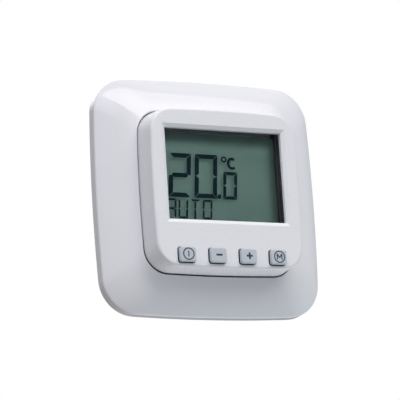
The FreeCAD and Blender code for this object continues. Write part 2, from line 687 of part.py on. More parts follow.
def make_display():
    """Clear pane, the two display plates, the reflector and the holder that keeps them."""
    z_low = "window_centre - window_height / 2 - pane_lap"
    z_high = "window_centre + window_height / 2 + pane_lap"
    behind_face = "cover_proud - cover_skin"
    pane = block(
        "pane", centred("window_width + 2 * pane_lap"),
        (f"{behind_face} - pane_thick", behind_face), (z_low, z_high),
    )
    finish(pane, "display_window")
    glass_low = "window_centre - glass_height / 2"
    glass_high = "window_centre + glass_height / 2"
    joint = "display_proud - glass_thick"
    back = "display_proud - 2 * glass_thick"
    ledge = (f"{glass_low} + glass_ledge", f"{glass_high} - glass_ledge")
    front = block("front_plate", centred("glass_width"), (joint, "display_proud"), (glass_low, glass_high))
    finish(front, "display_front_glass")
    finish(block("rear_plate", centred("glass_width"), (back, joint), ledge), "display_rear_glass")
    foil = block(
        "foil", centred("window_width - 2 * reflector_short"), (f"{back} - reflector_thick", back), ledge
    )
    finish(foil, "display_reflector")
    board_front = "board_proud + board_thick"
    for name, z in [
        ("upper", (f"{glass_high} - strip_thick - glass_play", f"{glass_high} - glass_play")),
        ("lower", (f"{glass_low} + glass_play", f"{glass_low} + strip_thick + glass_play")),
    ]:
        strip = block(f"{name}_strip", centred("glass_width - 2 * strip_short"), (board_front, joint), z)
        finish(strip, f"{name}_contact_strip")
    body = new_body("display_holder")
    ring = plate_sketch(
        body, "holder_edge", board_front, centred("glass_width + 2 * glass_play + 2 * holder_side"),
        (f"{glass_low} - glass_play - holder_end", f"{glass_high} + glass_play + holder_end"),
        "holder_corner",
    )
    pad(body, ring, f"display_proud + holder_lip - ({board_front})")
    well = plate_sketch(
        body, "holder_well", "display_proud", centred("glass_width + 2 * glass_play"),
        (f"{glass_low} - glass_play", f"{glass_high} + glass_play"),
    )
    pocket(body, well, "display_proud")
    mouth = plate_sketch(
        body, "holder_mouth", "display_proud + holder_lip", centred("glass_width - 2 * lip_side_lap"),
        (f"{glass_low} + glass_play", f"{glass_high} - glass_play"),
    )
    pocket(body, mouth, "holder_lip + overrun")


# ---------------------------------------------------------------- buttons


def button_x(place):
    return f"({place} - ({len(BUTTONS)} - 1) / 2) * button_pitch"


def button_box(place, margin):
    x = button_x(place)
    return (
        (f"{x} - button_width / 2 - {margin}", f"{x} + button_width / 2 + {margin}"),
        (f"button_centre - button_height / 2 - {margin}", f"button_centre + button_height / 2 + {margin}"),
    )


def make_button(place, label):
    """Cap with a flange behind the cover's face and a stem that stands on the plunger."""
    body = new_body(f"{label}_button")
    flange_front = "cover_proud - cover_skin - button_gap"
    x, z = button_box(place, "0")
    cap = plate_sketch(body, f"{label}_cap", flange_front, x, z, "button_corner")
    pad(body, cap, f"cover_proud + button_proud - ({flange_front})")
    round_front(body, f"{label}_edge", "button_round")
    flange = plate_sketch(
        body, f"{label}_flange", f"{flange_front} - flange_thick",
        (f"{x[0]} - flange_side", f"{x[1]} + flange_side"),
        (f"{z[0]} + flange_inset", f"{z[1]} + flange_above"), "button_corner",
    )
    pad(body, flange, "flange_thick")
    stem = sketch_at(body, f"{label}_stem", PLUNGER_TOP)
    draw_circle(stem, "stem", button_x(place), "switch_centre", "stem_radius")
    pad(body, stem, f"{flange_front} - flange_thick - {PLUNGER_TOP}")


def make_switch(place, label):
    """Tactile switch: a square housing with the plunger in a blind bore."""
    x = button_x(place)
    base = "board_proud + board_thick"
    top = f"{base} + switch_height"
    plunger_foot = f"{top} - plunger_depth + button_travel"
    housing = block(
        f"{label}_housing", (f"{x} - switch_size / 2", f"{x} + switch_size / 2"), (base, top),
        ("switch_centre - switch_size / 2", "switch_centre + switch_size / 2"),
    )
    bore = rod(
        f"{label}_bore", x, "switch_centre", "plunger_radius + plunger_play",
        (f"{top} - plunger_depth - bore_play", f"{top} + overrun"),
    )
    finish(cut(f"{label}_switch_cut", housing, [bore]), f"{label}_switch")
    plunger = rod(f"{label}_pin", x, "switch_centre", "plunger_radius", (plunger_foot, PLUNGER_TOP))
    finish(plunger, f"{label}_plunger")


# ---------------------------------------------------------------- control board


def make_control_board():
    body = new_body("control_board")
    edge = plate_sketch(
        body, "control_edge", "board_proud", centred("board_size"), centred("board_size"), "board_corner"
    )
    pad(body, edge, "board_thick")
    holes = sketch_at(body, "control_holes", "board_proud + board_thick")
    for side, sign in [("left", "-"), ("right", "")]:
        radius = "board_screw_radius + screw_play"
        draw_circle(holes, side, f"{sign}board_screw_x", "board_screw_z", radius)
    pocket(body, holes, "board_thick + overrun")


def make_board_components():
    """Controller, crystal, backup capacitor, resistors and air sensor."""
    rear = "board_proud"
    chip = block("chip", centred("chip_size"), (f"{rear} - chip_thick", rear), ("0", "chip_size"))
    finish(chip, "controller_chip")
    leads = []
    for side, sign in [("left", -1), ("right", 1)]:
        for step in range(LEADS_PER_SIDE):
            z = f"chip_size * ({step} + 0.5) / {LEADS_PER_SIDE}"
            ends = sorted([0, sign])
            x = [f"{sign} * chip_size / 2 + {end} * lead_length" for end in ends]
            across = (f"{z} - lead_width / 2", f"{z} + lead_width / 2")
            leads.append(block(f"lead_{side}_{step}", x, (f"{rear} - lead_thick", rear), across))
    finish(group("chip_lead_set", leads), "controller_leads")
    reserve = rod("reserve", "reserve_x", "reserve_z", "reserve_radius", (f"{rear} - reserve_height", rear))
    finish(reserve, "backup_capacitor")
    crystal = lying_rod(
        "crystal", "crystal_x", f"{rear} - crystal_radius", ("crystal_z", "crystal_z + crystal_length"),
        "crystal_radius", "z",
    )
    finish(crystal, "clock_crystal")
    resistors = []
    for row in range(RESISTOR_ROWS):
        for step in range(RESISTORS_PER_ROW):
            x = f"resistor_left + {step} * resistor_pitch"
            z = f"resistor_bottom + {row} * resistor_pitch"
            resistor = block(
                f"resistor_{row}_{step}", (x, f"{x} + resistor_length"),
                (f"{rear} - resistor_thick", rear), (z, f"{z} + resistor_width"),
            )
            resistors.append(resistor)
    finish(group("resistor_set", resistors), "board_resistors")
    front = "board_proud + board_thick"
    bead_proud = f"{front} + sensor_height"
    bead = doc.addObject("Part::Sphere", "bead")
    bind(bead, "Radius", "sensor_radius")
    bead_x, bead_z = "sensor_inset - board_size / 2", "sensor_rise - board_size / 2"
    bind(bead, ".Placement.Base.x", bead_x)
    bind(bead, ".Placement.Base.y", f"-({bead_proud})")
    bind(bead, ".Placement.Base.z", bead_z)
    legs = [
        rod(
            f"bead_leg_{side}", f"{bead_x} + {side} * sensor_spread", bead_z, "lead_radius",
            (front, bead_proud),
        )
        for side in (-1, 1)
    ]
    finish(fuse("bead_and_legs", [bead, *legs]), "air_sensor")
    screws = []
    for name, sign in [("left", "-"), ("right", "")]:
        x, z, head_top = f"{sign}board_screw_x", "board_screw_z", f"{front} + board_head_height"
        head = rod(f"{name}_board_head", x, z, "board_head_radius", (front, head_top))
        shank = rod(
            f"{name}_board_shank", x, z, "board_screw_radius",
            (f"{rear} - board_screw_depth", f"{front} + board_head_height / 2"),
        )
        slit = block(
            f"{name}_board_slit", (f"{x} - board_head_radius", f"{x} + board_head_radius"),
            (f"{head_top} - slit_depth", f"{head_top} + overrun"),
            (f"{z} - slit_width / 2", f"{z} + slit_width / 2"),
        )
        screws.append(cut(f"{name}_board_screw", fuse(f"{name}_board_blank", [head, shank]), [slit]))
    finish(group("board_screw_set", screws), "board_screws")


def make_header():
    """Plug on the control board, its pins, and the socket on the power board."""
    length = f"{HEADER_PINS} * pin_pitch"
    z = ("header_z - pin_pitch / 2", "header_z + pin_pitch / 2")
    base_low = "board_proud - header_base"
    pins, plug_holes, socket_holes = [], [], []
    for step in range(HEADER_PINS):
        x = f"({step} - ({HEADER_PINS} - 1) / 2) * pin_pitch"

        def square(name, half, proud):
            return block(
                name, (f"{x} - {half}", f"{x} + {half}"), proud,
                (f"header_z - {half}", f"header_z + {half}"),
            )

        pins.append(square(f"pin_{step}", "pin_side / 2", ("-pin_tip", "board_proud")))
        hole = "(pin_side / 2 + pin_play)"
        plug_run = (f"{base_low} - overrun", "board_proud + overrun")
        plug_holes.append(square(f"plug_hole_{step}", hole, plug_run))
        socket_run = ("-pin_tip - overrun / 2", "socket_top + overrun")
        socket_holes.append(square(f"socket_hole_{step}", hole, socket_run))
    finish(group("pin_set", pins), "header_pins")
    plug = block("plug_block", centred(length), (base_low, "board_proud"), z)
    finish(cut("plug_cut", plug, plug_holes), "header_plug")
    socket = block("socket_block", centred(length), ("-power_board_depth", "socket_top"), z)
    finish(cut("socket_cut", socket, socket_holes), "header_socket")


# ---------------------------------------------------------------- carrier and bridge


def make_carrier():
    """Open tray behind the control board; the cover's hooks snap into its walls."""
    body = new_body("carrier")
    size = centred("carrier_size")
    edge = plate_sketch(body, "carrier_edge", "bridge_thick", size, size, "board_corner")
    pad(body, edge, "board_proud - bridge_thick")
    inner = centred("carrier_size - 2 * carrier_wall")
    tray = plate_sketch(body, "carrier_tray", "board_proud", inner, inner, "board_corner - carrier_wall")
    pocket(body, tray, "board_proud - bridge_thick - carrier_wall")
    bosses = sketch_at(body, "carrier_bosses", "bridge_thick + carrier_wall / 2")
    pilots = sketch_at(body, "carrier_pilots", "board_proud")
    for side, sign in [("left", "-"), ("right", "")]:
        draw_circle(bosses, side, f"{sign}(board_screw_x - boss_shift)", "board_screw_z", "boss_radius")
        pilot = "board_screw_radius + thread_play"
        draw_circle(pilots, side, f"{sign}board_screw_x", "board_screw_z", pilot)
    pad(body, bosses, "board_proud - bridge_thick - carrier_wall / 2")
    pocket(body, pilots, "pilot_depth")
    screw_holes = sketch_at(body, "carrier_screw_holes", "bridge_thick + carrier_wall")
    for number, (x, z) in enumerate(corner_places()):
        draw_circle(screw_holes, f"hole_{number}", x, z, "bridge_screw_radius + screw_play")
    pocket(body, screw_holes, "carrier_wall + overrun")
    floor = "bridge_thick + carrier_wall"
    slot = plate_sketch(
        body, "header_slot", floor, centred(f"({HEADER_PINS} + 1) * pin_pitch"),
        ("header_z - pin_pitch", "header_z + pin_pitch"),
    )
    pocket(body, slot, "carrier_wall + overrun")
    catches = plate_sketch(
        body, "catches", "cover_seat + hook_depth + catch_play", centred("hook_width + 2 * catch_play"),
        centred("carrier_size + 2 * overrun"),
    )
    pocket(body, catches, "hook_depth + 2 * catch_play")


def corner_places():
    """The four bridge screws, one in each corner."""
    return [(f"{i}screw_place", f"{k}screw_place") for i in ("-", "") for k in ("-", "")]


def make_bridge():
    """Steel mounting bridge with a slot for a box screw in the middle of each side."""
    body = new_body("mounting_bridge")
    size = centred("frame_size - 2 * frame_wall - 2 * bridge_gap")
    edge = plate_sketch(body, "bridge_edge", "0", size, size, "bridge_corner")
    pad(body, edge, "bridge_thick")
    opening = centred("2 * screw_place - 2 * screw_land")
    holes = plate_sketch(body, "bridge_window", "bridge_thick", opening, opening, "opening_corner")
    for number, (x, z) in enumerate(corner_places()):
        draw_circle(holes, f"hole_{number}", x, z, "bridge_screw_radius + screw_play")
    for side, sign in [("low", "-"), ("high", "")]:
        middle = f"{sign}screw_spacing / 2"
        draw_slot(holes, f"across_{side}", middle, "0", False)
        draw_slot(holes, f"upright_{side}", "0", middle, True)
    pocket(body, holes, "bridge_thick + overrun")
    screws = []
    head_foot = "bridge_thick + carrier_wall"
    for number, (x, z) in enumerate(corner_places()):
        head_top = f"{head_foot} + screw_head_height"
        head = rod(f"screw_head_{number}", x, z, "screw_head_radius", (head_foot, head_top))
        shank = rod(
            f"screw_shank_{number}", x, z, "bridge_screw_radius",
            (f"{head_foot} - bridge_screw_length", f"{head_foot} + screw_head_height / 2"),
        )
        slit = block(
            f"screw_slit_{number}", (f"{x} - screw_head_radius", f"{x} + screw_head_radius"),
            (f"{head_top} - slit_depth", f"{head_top} + overrun"),
            (f"{z} - slit_width / 2", f"{z} + slit_width / 2"),
        )
        screws.append(cut(f"bridge_screw_{number}", fuse(f"screw_blank_{number}", [head, shank]), [slit]))
    finish(group("bridge_screw_set", screws), "bridge_screws")


# ---------------------------------------------------------------- housing and power board


def make_housing():
    """Round-cornered housing for the wall box, stepped at the bottom for the terminals."""
    size = centred("housing_size")
    inside = centred("housing_size - 2 * housing_wall")
    wide = centred("housing_size + 2 * overrun")
    under, behind = "-housing_size / 2 - overrun", "-housing_depth - overrun"
    outer = rounded_block("housing_outer", size, ("-housing_depth", "0"), size, "housing_corner")
    step = block("step_outer", wide, (behind, "-step_depth"), (under, "step_height"))
    inner = rounded_block(
        "housing_inner", inside, ("-housing_depth + housing_wall", "overrun"), inside,
        "housing_corner - housing_wall",
    )
    inner_step = block(
        "step_inner", wide, (behind, "-step_depth + housing_wall"), (under, "step_height + housing_wall")
    )
    window = block(
        "terminal_window", centred(f"{TERMINALS} * terminal_pitch + 2 * terminal_play"),
        ("-step_depth - overrun", f"{POWER_REAR} + overrun / 2"), (under, "terminal_top + terminal_play"),
    )
    hollow = cut("housing_hollow", inner, [inner_step])
    shell = cut("housing_shell", cut("housing_stepped", outer, [step]), [hollow, window])
    bosses, pilots = [], []
    for number, (x, z) in enumerate(corner_places()):
        bosses.append(rod(f"housing_boss_{number}", x, z, "housing_boss", ("-boss_length", "0")))
        radius = "bridge_screw_radius + thread_play"
        depth = ("-boss_length + boss_end", "overrun")
        pilots.append(rod(f"housing_pilot_{number}", x, z, radius, depth))
    for side in (-1, 1):
        span = ("-housing_depth + housing_wall / 2", POWER_REAR)
        bosses.append(rod(f"board_post_{side + 1}", f"{side} * post_x", "post_z", "post_radius", span))
    finish(cut("housing_bored", fuse("housing_full", [shell, *bosses]), pilots), "insert_housing")


def make_power_board():
    size = centred("housing_size - 2 * housing_wall - 2 * power_board_play")
    board = rounded_block(
        "power_blank", size, (POWER_REAR, "-power_board_depth"), size,
        "housing_corner - housing_wall - power_board_play",
    )
    notches = [
        rod(f"power_notch_{i}", x, z, "housing_boss + boss_play", (f"{POWER_REAR} - overrun", "0"))
        for i, (x, z) in enumerate(corner_places())
    ]
    finish(cut("power_notched", board, notches), "power_board")


def make_power_components():
    """Relay, dropper capacitor, smoothing capacitor, varistor, fuse and rectifier."""
    rear = POWER_REAR
    relay = rounded_block(
        "relay", centred("relay_width"), (f"{rear} - relay_depth", rear),
        ("relay_bottom", "relay_bottom + relay_height"), "case_round",
    )
    finish(relay, "switching_relay")
    film = rounded_block(
        "film", ("film_left", "film_left + film_width"), (f"{rear} - film_depth", rear),
        ("film_bottom", "film_bottom + film_height"), "case_round",
    )
    finish(film, "film_capacitor")
    finish(rod("can", "can_x", "can_z", "can_radius", (f"{rear} - can_depth", rear)), "smoothing_capacitor")
    finish(rod("fuse", "fuse_x", "fuse_z", "fuse_radius", (f"{rear} - fuse_depth", rear)), "mains_fuse")
    disc = lying_rod(
        "varistor_disc", "varistor_x", f"{rear} - component_lift - varistor_radius",
        ("varistor_z - varistor_thick / 2", "varistor_z + varistor_thick / 2"), "varistor_radius", "z",
    )
    legs = [
        rod(f"varistor_leg_{side + 1}", f"varistor_x + {side} * varistor_leg_reach", "varistor_z",
            "lead_radius", (f"{rear} - component_lift - varistor_radius", rear))
        for side in (-1, 1)
    ]
    finish(fuse("varistor_full", [disc, *legs]), "surge_varistor")
    half_x, half_z = "rectifier_width / 2", "rectifier_height / 2"
    rectifier = block(
        "rectifier", (f"rectifier_x - {half_x}", f"rectifier_x + {half_x}"),
        ("-power_board_depth", "-power_board_depth + rectifier_thick"),
        (f"rectifier_z - {half_z}", f"rectifier_z + {half_z}"),
    )
    finish(rectifier, "bridge_rectifier")
    places = [
        (f"{x} * relay_width / 2", f"relay_bottom + {z} * relay_height")
        for x in RELAY_LEG_SHARES_ACROSS for z in RELAY_LEG_SHARES_UP
    ]
    film_middle = "film_bottom + film_height / 2"
    places.append(("film_left + film_leg_inset", film_middle))
    places.append(("film_left + film_width - film_leg_inset", film_middle))
    for part in ("can", "fuse", "varistor"):
        for sign in "-+":
            places.append((f"{part}_x {sign} {part}_leg_reach", f"{part}_z"))
    places += [(terminal_x(step), "terminal_top - terminal_leg_drop") for step in range(TERMINALS)]
    run = ("-power_board_depth", "-power_board_depth + solder_height")
    joints = [rod(f"solder_{i}", x, z, "solder_radius", run) for i, (x, z) in enumerate(places)]
    finish(group("solder_set", joints), "solder_joints")


def terminal_x(step):
    return f"({step} - ({TERMINALS} - 1) / 2) * terminal_pitch"


def make_terminals():
    """Terminal block: wires enter from below, and the screws face into the wall."""
    block_rear = f"{POWER_REAR} - terminal_depth"
    body = block(
        "terminal_blank", centred(f"{TERMINALS} * terminal_pitch"), (block_rear, POWER_REAR),
        ("terminal_bottom", "terminal_top"),
    )
    behind = f"{block_rear} - overrun"
    head_rear = f"{block_rear} + terminal_head_sink"
    entry_centre = f"({POWER_REAR} - wire_entry_place)"
    screw_z = "terminal_bottom + terminal_screw_inset"
    cutters, clamps, screws = [], [], []
    for step in range(TERMINALS):
        x = terminal_x(step)

        def tube(name, half, z):
            return block(
                name, (f"{x} - {half}", f"{x} + {half}"),
                (f"{entry_centre} - {half}", f"{entry_centre} + {half}"), z,
            )

        entry = ("terminal_bottom - overrun", "terminal_bottom + wire_entry_depth")
        cutters.append(tube(f"entry_{step}", "wire_entry / 2", entry))
        bore = "terminal_head_radius + terminal_play"
        cutters.append(rod(f"screw_bore_{step}", x, screw_z, bore, (behind, entry_centre)))
        outer_half = "(wire_entry / 2 - terminal_play)"
        inner_half = f"({outer_half} - clamp_wall)"
        clamp_low = "terminal_bottom + clamp_inset"
        clamp = tube(f"clamp_outer_{step}", outer_half, (clamp_low, f"{clamp_low} + clamp_length"))
        through = ("terminal_bottom", f"{clamp_low} + clamp_length + overrun")
        hole = tube(f"clamp_inner_{step}", inner_half, through)
        thread_radius = "terminal_thread_radius + thread_play"
        thread = rod(f"clamp_thread_{step}", x, screw_z, thread_radius, (behind, entry_centre))
        clamps.append(cut(f"clamp_{step}", clamp, [hole, thread]))
        head = rod(
            f"terminal_head_{step}", x, screw_z, "terminal_head_radius",
            (head_rear, f"{head_rear} + terminal_head_height"),
        )
        shank = rod(
            f"terminal_shank_{step}", x, screw_z, "terminal_thread_radius",
            (f"{head_rear} + terminal_head_height / 2", f"{entry_centre} - wire_entry / 4"),
        )
        slit = block(
            f"terminal_slit_{step}",
            (f"{x} - terminal_head_radius - overrun", f"{x} + terminal_head_radius + overrun"),
            (behind, f"{head_rear} + slit_depth"),
            (f"{screw_z} - slit_width / 2", f"{screw_z} + slit_width / 2"),
        )
        blank = fuse(f"terminal_screw_blank_{step}", [head, shank])
        screws.append(cut(f"terminal_screw_{step}", blank, [slit]))
    finish(cut("terminal_cut", body, cutters), "terminal_block")
    finish(group("clamp_set", clamps), "terminal_clamps")
    finish(group("terminal_screw_set", screws), "terminal_screws")


def main():
    fill_sheet()
    make_outer_frame()
    make_front_cover()
    make_display()
    for place, label in enumerate(BUTTONS):
        make_button(place, label)
        make_switch(place, label)
    make_control_board()
    make_board_components()
    make_header()
    make_carrier()
    make_bridge()
    make_housing()
    make_power_board()
    make_power_components()
    make_terminals()
    export()


def export():
    doc.recompute()
    for thing in doc.Objects:
        if {"Invalid", "Error"} & set(thing.State):
            raise ValueError(f"{thing.Label} failed: {thing.State}")
    for part in parts:
        if part.Shape.isNull() or not part.Shape.isValid():
            raise ValueError(f"{part.Label} has no valid shape")
    os.makedirs("parts", exist_ok=True)
    for part in parts:
        part.Shape.exportStep(f"parts/{part.Label}.step")
        print(f"{part.Label}: {len(part.Shape.Solids)} solid(s), {part.Shape.Volume:.1f} mm3")


main()
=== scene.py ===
import json
import math

import bmesh
import bpy
from mathutils import Matrix, Vector


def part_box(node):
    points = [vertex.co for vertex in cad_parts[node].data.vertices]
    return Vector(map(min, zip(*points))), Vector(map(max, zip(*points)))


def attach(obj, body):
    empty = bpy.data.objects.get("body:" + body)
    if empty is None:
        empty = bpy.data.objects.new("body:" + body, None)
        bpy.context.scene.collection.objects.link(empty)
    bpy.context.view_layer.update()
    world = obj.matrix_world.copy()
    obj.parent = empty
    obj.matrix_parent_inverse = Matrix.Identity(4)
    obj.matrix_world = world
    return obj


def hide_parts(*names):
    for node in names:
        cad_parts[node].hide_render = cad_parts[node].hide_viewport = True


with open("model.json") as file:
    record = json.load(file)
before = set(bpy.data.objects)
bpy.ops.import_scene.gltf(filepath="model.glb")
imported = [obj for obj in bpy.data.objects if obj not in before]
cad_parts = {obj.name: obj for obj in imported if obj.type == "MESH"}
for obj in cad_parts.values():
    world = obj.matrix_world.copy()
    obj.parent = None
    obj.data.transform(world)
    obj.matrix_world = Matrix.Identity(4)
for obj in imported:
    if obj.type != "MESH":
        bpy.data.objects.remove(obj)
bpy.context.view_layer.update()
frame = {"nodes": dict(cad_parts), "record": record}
nodes = frame["nodes"]
mm = 0.001
print("loaded", len(nodes), "parts")


def toLinear(hexColour):
    # sRGB hex to the linear colour that shaders expect
    parts = [int(hexColour[i:i + 2], 16) / 255 for i in (1, 3, 5)]
    return [c / 12.92 if c <= 0.04045 else ((c + 0.055) / 1.055) ** 2.4 for c in parts] + [1.0]


def addNode(tree, kind, settings):
    # a setting is another node's output to link from, a socket's value, or a property of the node
    node = tree.nodes.new(kind)
    for name, value in settings.items():
        if isinstance(name, str) and name not in node.inputs:
            setattr(node, name, value)
            continue
        socket = node.inputs[name]
        if isinstance(value, bpy.types.NodeSocket):
            tree.links.new(value, socket)
        else:
            socket.default_value = toLinear(value) if isinstance(value, str) else value
    return node


def startMaterial(name):
    material = bpy.data.materials.new(name)
    material.use_nodes = True
    material.node_tree.nodes.clear()
    return material, material.node_tree


def endMaterial(tree, shader):
    addNode(tree, "ShaderNodeOutputMaterial", {"Surface": shader.outputs[0]})


def perMetre(sizeMm):
    # pattern scale for a feature of that size, as object coordinates are in metres
    return 1000 / sizeMm


# ---- camera ----
camera = {
    "azimuth": -26.47,  # degrees, seen from the left
    "elevation": -12.83,  # and from a little below
    "roll": -3.67,
    "distance": 752.9,  # mm
    "aim": (-0.9, 0.3, 0.5),  # mm
    "lens": 202.3,
    "sensor": 36,
}


def makeCamera():
    a, e = math.radians(camera["azimuth"]), math.radians(camera["elevation"])
    back = Vector((math.sin(a) * math.cos(e), -math.cos(a) * math.cos(e), math.sin(e)))
    right = Vector((0, 0, 1)).cross(back).normalized()
    turn = Matrix.Rotation(math.radians(camera["roll"]), 3, back)
    right = turn @ right
    up = back.cross(right)
    data = bpy.data.cameras.new("studioCamera")
    data.lens = camera["lens"]
    data.sensor_width = camera["sensor"]
    item = bpy.data.objects.new("studioCamera", data)
    place = Vector(camera["aim"]) * mm + back * camera["distance"] * mm
    item.matrix_world = Matrix.Translation(place) @ Matrix((right, up, back)).transposed().to_4x4()
    bpy.context.scene.collection.objects.link(item)
    bpy.context.scene.camera = item


makeCamera()
print("camera placed")

# ---- light and surroundings ----
studio = {
    # corners of the large tilted softbox overhead, whose sharp edges show in the glossy crown
    "keyCorners": (
        (-0.415, -0.493, 0.764), (0.326, -0.899, 0.293), (0.705, -0.453, 0.546), (0.361, -0.202, 0.911),
    ),
    "keyColour": "#fbfaf8",
    "keyStrength": 1.66,
    "keyEdge": 0.012,  # how far its edges fade, in radians
    "keySpots": ((-12, 48, 1.28), (10, 30, 1.72)),  # hot spots of its lamps: azimuth, elevation, strength
    # soft round lights: azimuth (0 in front, positive to the right), elevation, colour, strength
    "softLights": (
        (-60, 40, "#ecf2ff", 1.80),
        (-110, 0, "#fff3e6", 0.46),
        (-15, -42, "#f9faff", 0.87),
        (80, -42, "#cdeeff", 0.95),
        (0, -78, "#f4f6ff", 0.1),
        (122, -54, "#faf6f6", 1.9),
        (85, 0, "#ffffff", 0.12),
        (90, 40, "#e6e8ff", 0.7),
        (180, 46, "#ffffff", 2.8),
        (-25, 8, "#ffffff", 0.25),
    ),
    "softInner": 8,  # degrees from the middle of each light
    "softOuter": 38,
    "floorHeight": -360.0,  # mm
    "floorReach": 3000.0,
    "floorCloud": 250.0,
    "floorColour": "#fcfcfc",
    "floorSecondColour": "#ffffff",
}


def addGlow(tree, direction, axis, inner, outer):
    # brightness of a light by how near a direction is to its axis
    nearness = addNode(tree, "ShaderNodeVectorMath", {"operation": "DOT_PRODUCT", 0: direction, 1: axis})
    return addNode(tree, "ShaderNodeMapRange", {
        "interpolation_type": "SMOOTHSTEP", "Value": nearness.outputs["Value"],
        "From Min": outer, "From Max": inner,
    }).outputs[0]


def addKeyGlow(tree, direction):
    # inside all four edges of the softbox
    corners = [Vector(corner).normalized() for corner in studio["keyCorners"]]
    middle = sum(corners, Vector())
    glow = None
    for i, corner in enumerate(corners):
        side = corner.cross(corners[(i + 1) % 4]).normalized()
        side = side if side.dot(middle) > 0 else -side
        within = addGlow(tree, direction, side, studio["keyEdge"], -studio["keyEdge"])
        glow = within if glow is None else addNode(tree, "ShaderNodeMath", {
            "operation": "MULTIPLY", 0: glow, 1: within,
        }).outputs[0]
    return glow


def axisOf(azimuth, elevation):
    a, e = math.radians(azimuth), math.radians(elevation)
    return math.sin(a) * math.cos(e), -math.cos(a) * math.cos(e), math.sin(e)


def makeStudio():
    # Painted light all round, and plain white paper wherever the camera looks past the object
    world = bpy.data.worlds.new("whiteStudio")
    bpy.context.scene.world = world
    world.use_nodes = True
    tree = world.node_tree
    tree.nodes.clear()
    direction = addNode(tree, "ShaderNodeTexCoord", {}).outputs["Generated"]
    inner, outer = (math.cos(math.radians(studio[key])) for key in ("softInner", "softOuter"))
    sheet = studio["keyStrength"]
    for azimuth, elevation, strength in studio["keySpots"]:
        spot = addGlow(tree, direction, axisOf(azimuth, elevation), inner, outer)
        sheet = addNode(tree, "ShaderNodeMath", {
            "operation": "MULTIPLY_ADD", 0: spot, 1: strength, 2: sheet,
        }).outputs[0]
    key = addNode(tree, "ShaderNodeMath", {"operation": "MULTIPLY", 0: addKeyGlow(tree, direction), 1: sheet})
    lights = [(key.outputs[0], studio["keyColour"], 1.0)]
    for azimuth, elevation, colour, strength in studio["softLights"]:
        glow = addGlow(tree, direction, axisOf(azimuth, elevation), inner, outer)
        lights.append((glow, colour, strength))
    total = None
    for glow, colour, strength in lights:
        tint = [strength * c for c in toLinear(colour)[:3]]
        lit = addNode(tree, "ShaderNodeVectorMath", {"operation": "SCALE", 0: tint, "Scale": glow}).outputs[0]
        total = lit if total is None else addNode(tree, "ShaderNodeVectorMath", {
            "operation": "ADD", 0: total, 1: lit,
        }).outputs[0]
    around = addNode(tree, "ShaderNodeBackground", {"Color": total, "Strength": 1.0})
    paper = addNode(tree, "ShaderNodeBackground", {"Color": "#ffffff", "Strength": 1.0})
    ray = addNode(tree, "ShaderNodeLightPath", {})
    mixed = addNode(tree, "ShaderNodeMixShader", {
        0: ray.outputs["Is Camera Ray"], 1: around.outputs[0], 2: paper.outputs[0],
    })
    addNode(tree, "ShaderNodeOutputWorld", {"Surface": mixed.outputs[0]})
    bpy.context.scene.view_settings.view_transform = "Standard"  # keeps the paper white


def makeFloor():
    # Matt white paint with faint clouds from the roller
    material, tree = startMaterial("paintedStudioFloor")
    place = addNode(tree, "ShaderNodeTexCoord", {})
    cloud = addNode(tree, "ShaderNodeTexNoise", {
        "Vector": place.outputs["Object"], "Scale": perMetre(studio["floorCloud"]), "Detail": 3.0,
    })
    tone = addNode(tree, "ShaderNodeMix", {
        "data_type": "RGBA", 0: cloud.outputs["Fac"],
        6: studio["floorColour"], 7: studio["floorSecondColour"],
    })
    paint = addNode(tree, "ShaderNodeBsdfPrincipled", {"Base Color": tone.outputs[2], "Roughness": 0.9})
    clear = addNode(tree, "ShaderNodeBsdfTransparent", {})
    under = addNode(tree, "ShaderNodeNewGeometry", {})  # seen through from underneath
    endMaterial(tree, addNode(tree, "ShaderNodeMixShader", {
        0: under.outputs["Backfacing"], 1: paint.outputs[0], 2: clear.outputs[0],
    }))
    mesh = bpy.data.meshes.new("studioFloor")
    reach, low = studio["floorReach"] * mm, studio["floorHeight"] * mm
    corners = ((-reach, -reach, low), (reach, -reach, low), (reach, reach, low), (-reach, reach, low))
    mesh.from_pydata(corners, [], [(0, 1, 2, 3)])
    mesh.materials.append(material)
    floor = bpy.data.objects.new("studioFloor", mesh)
    floor.visible_diffuse = floor.visible_glossy = floor.visible_shadow = False  # lets the low lights through
    bpy.context.scene.collection.objects.link(floor)


makeStudio()
makeFloor()
print("studio lit")

# ---- finishes ----
plainMoulding = {  # what a moulded finish has unless it says otherwise
    "drift": 14,  # mm, as are waves, grain and their depths
    "waves": 6,
    "waveDepth": 0.004,
    "glossSpread": 0.03,  # to each side of the roughness
    "ior": 1.5,
    "paintedShadeLean": 0.0,  # mm forward for each mm lower
}


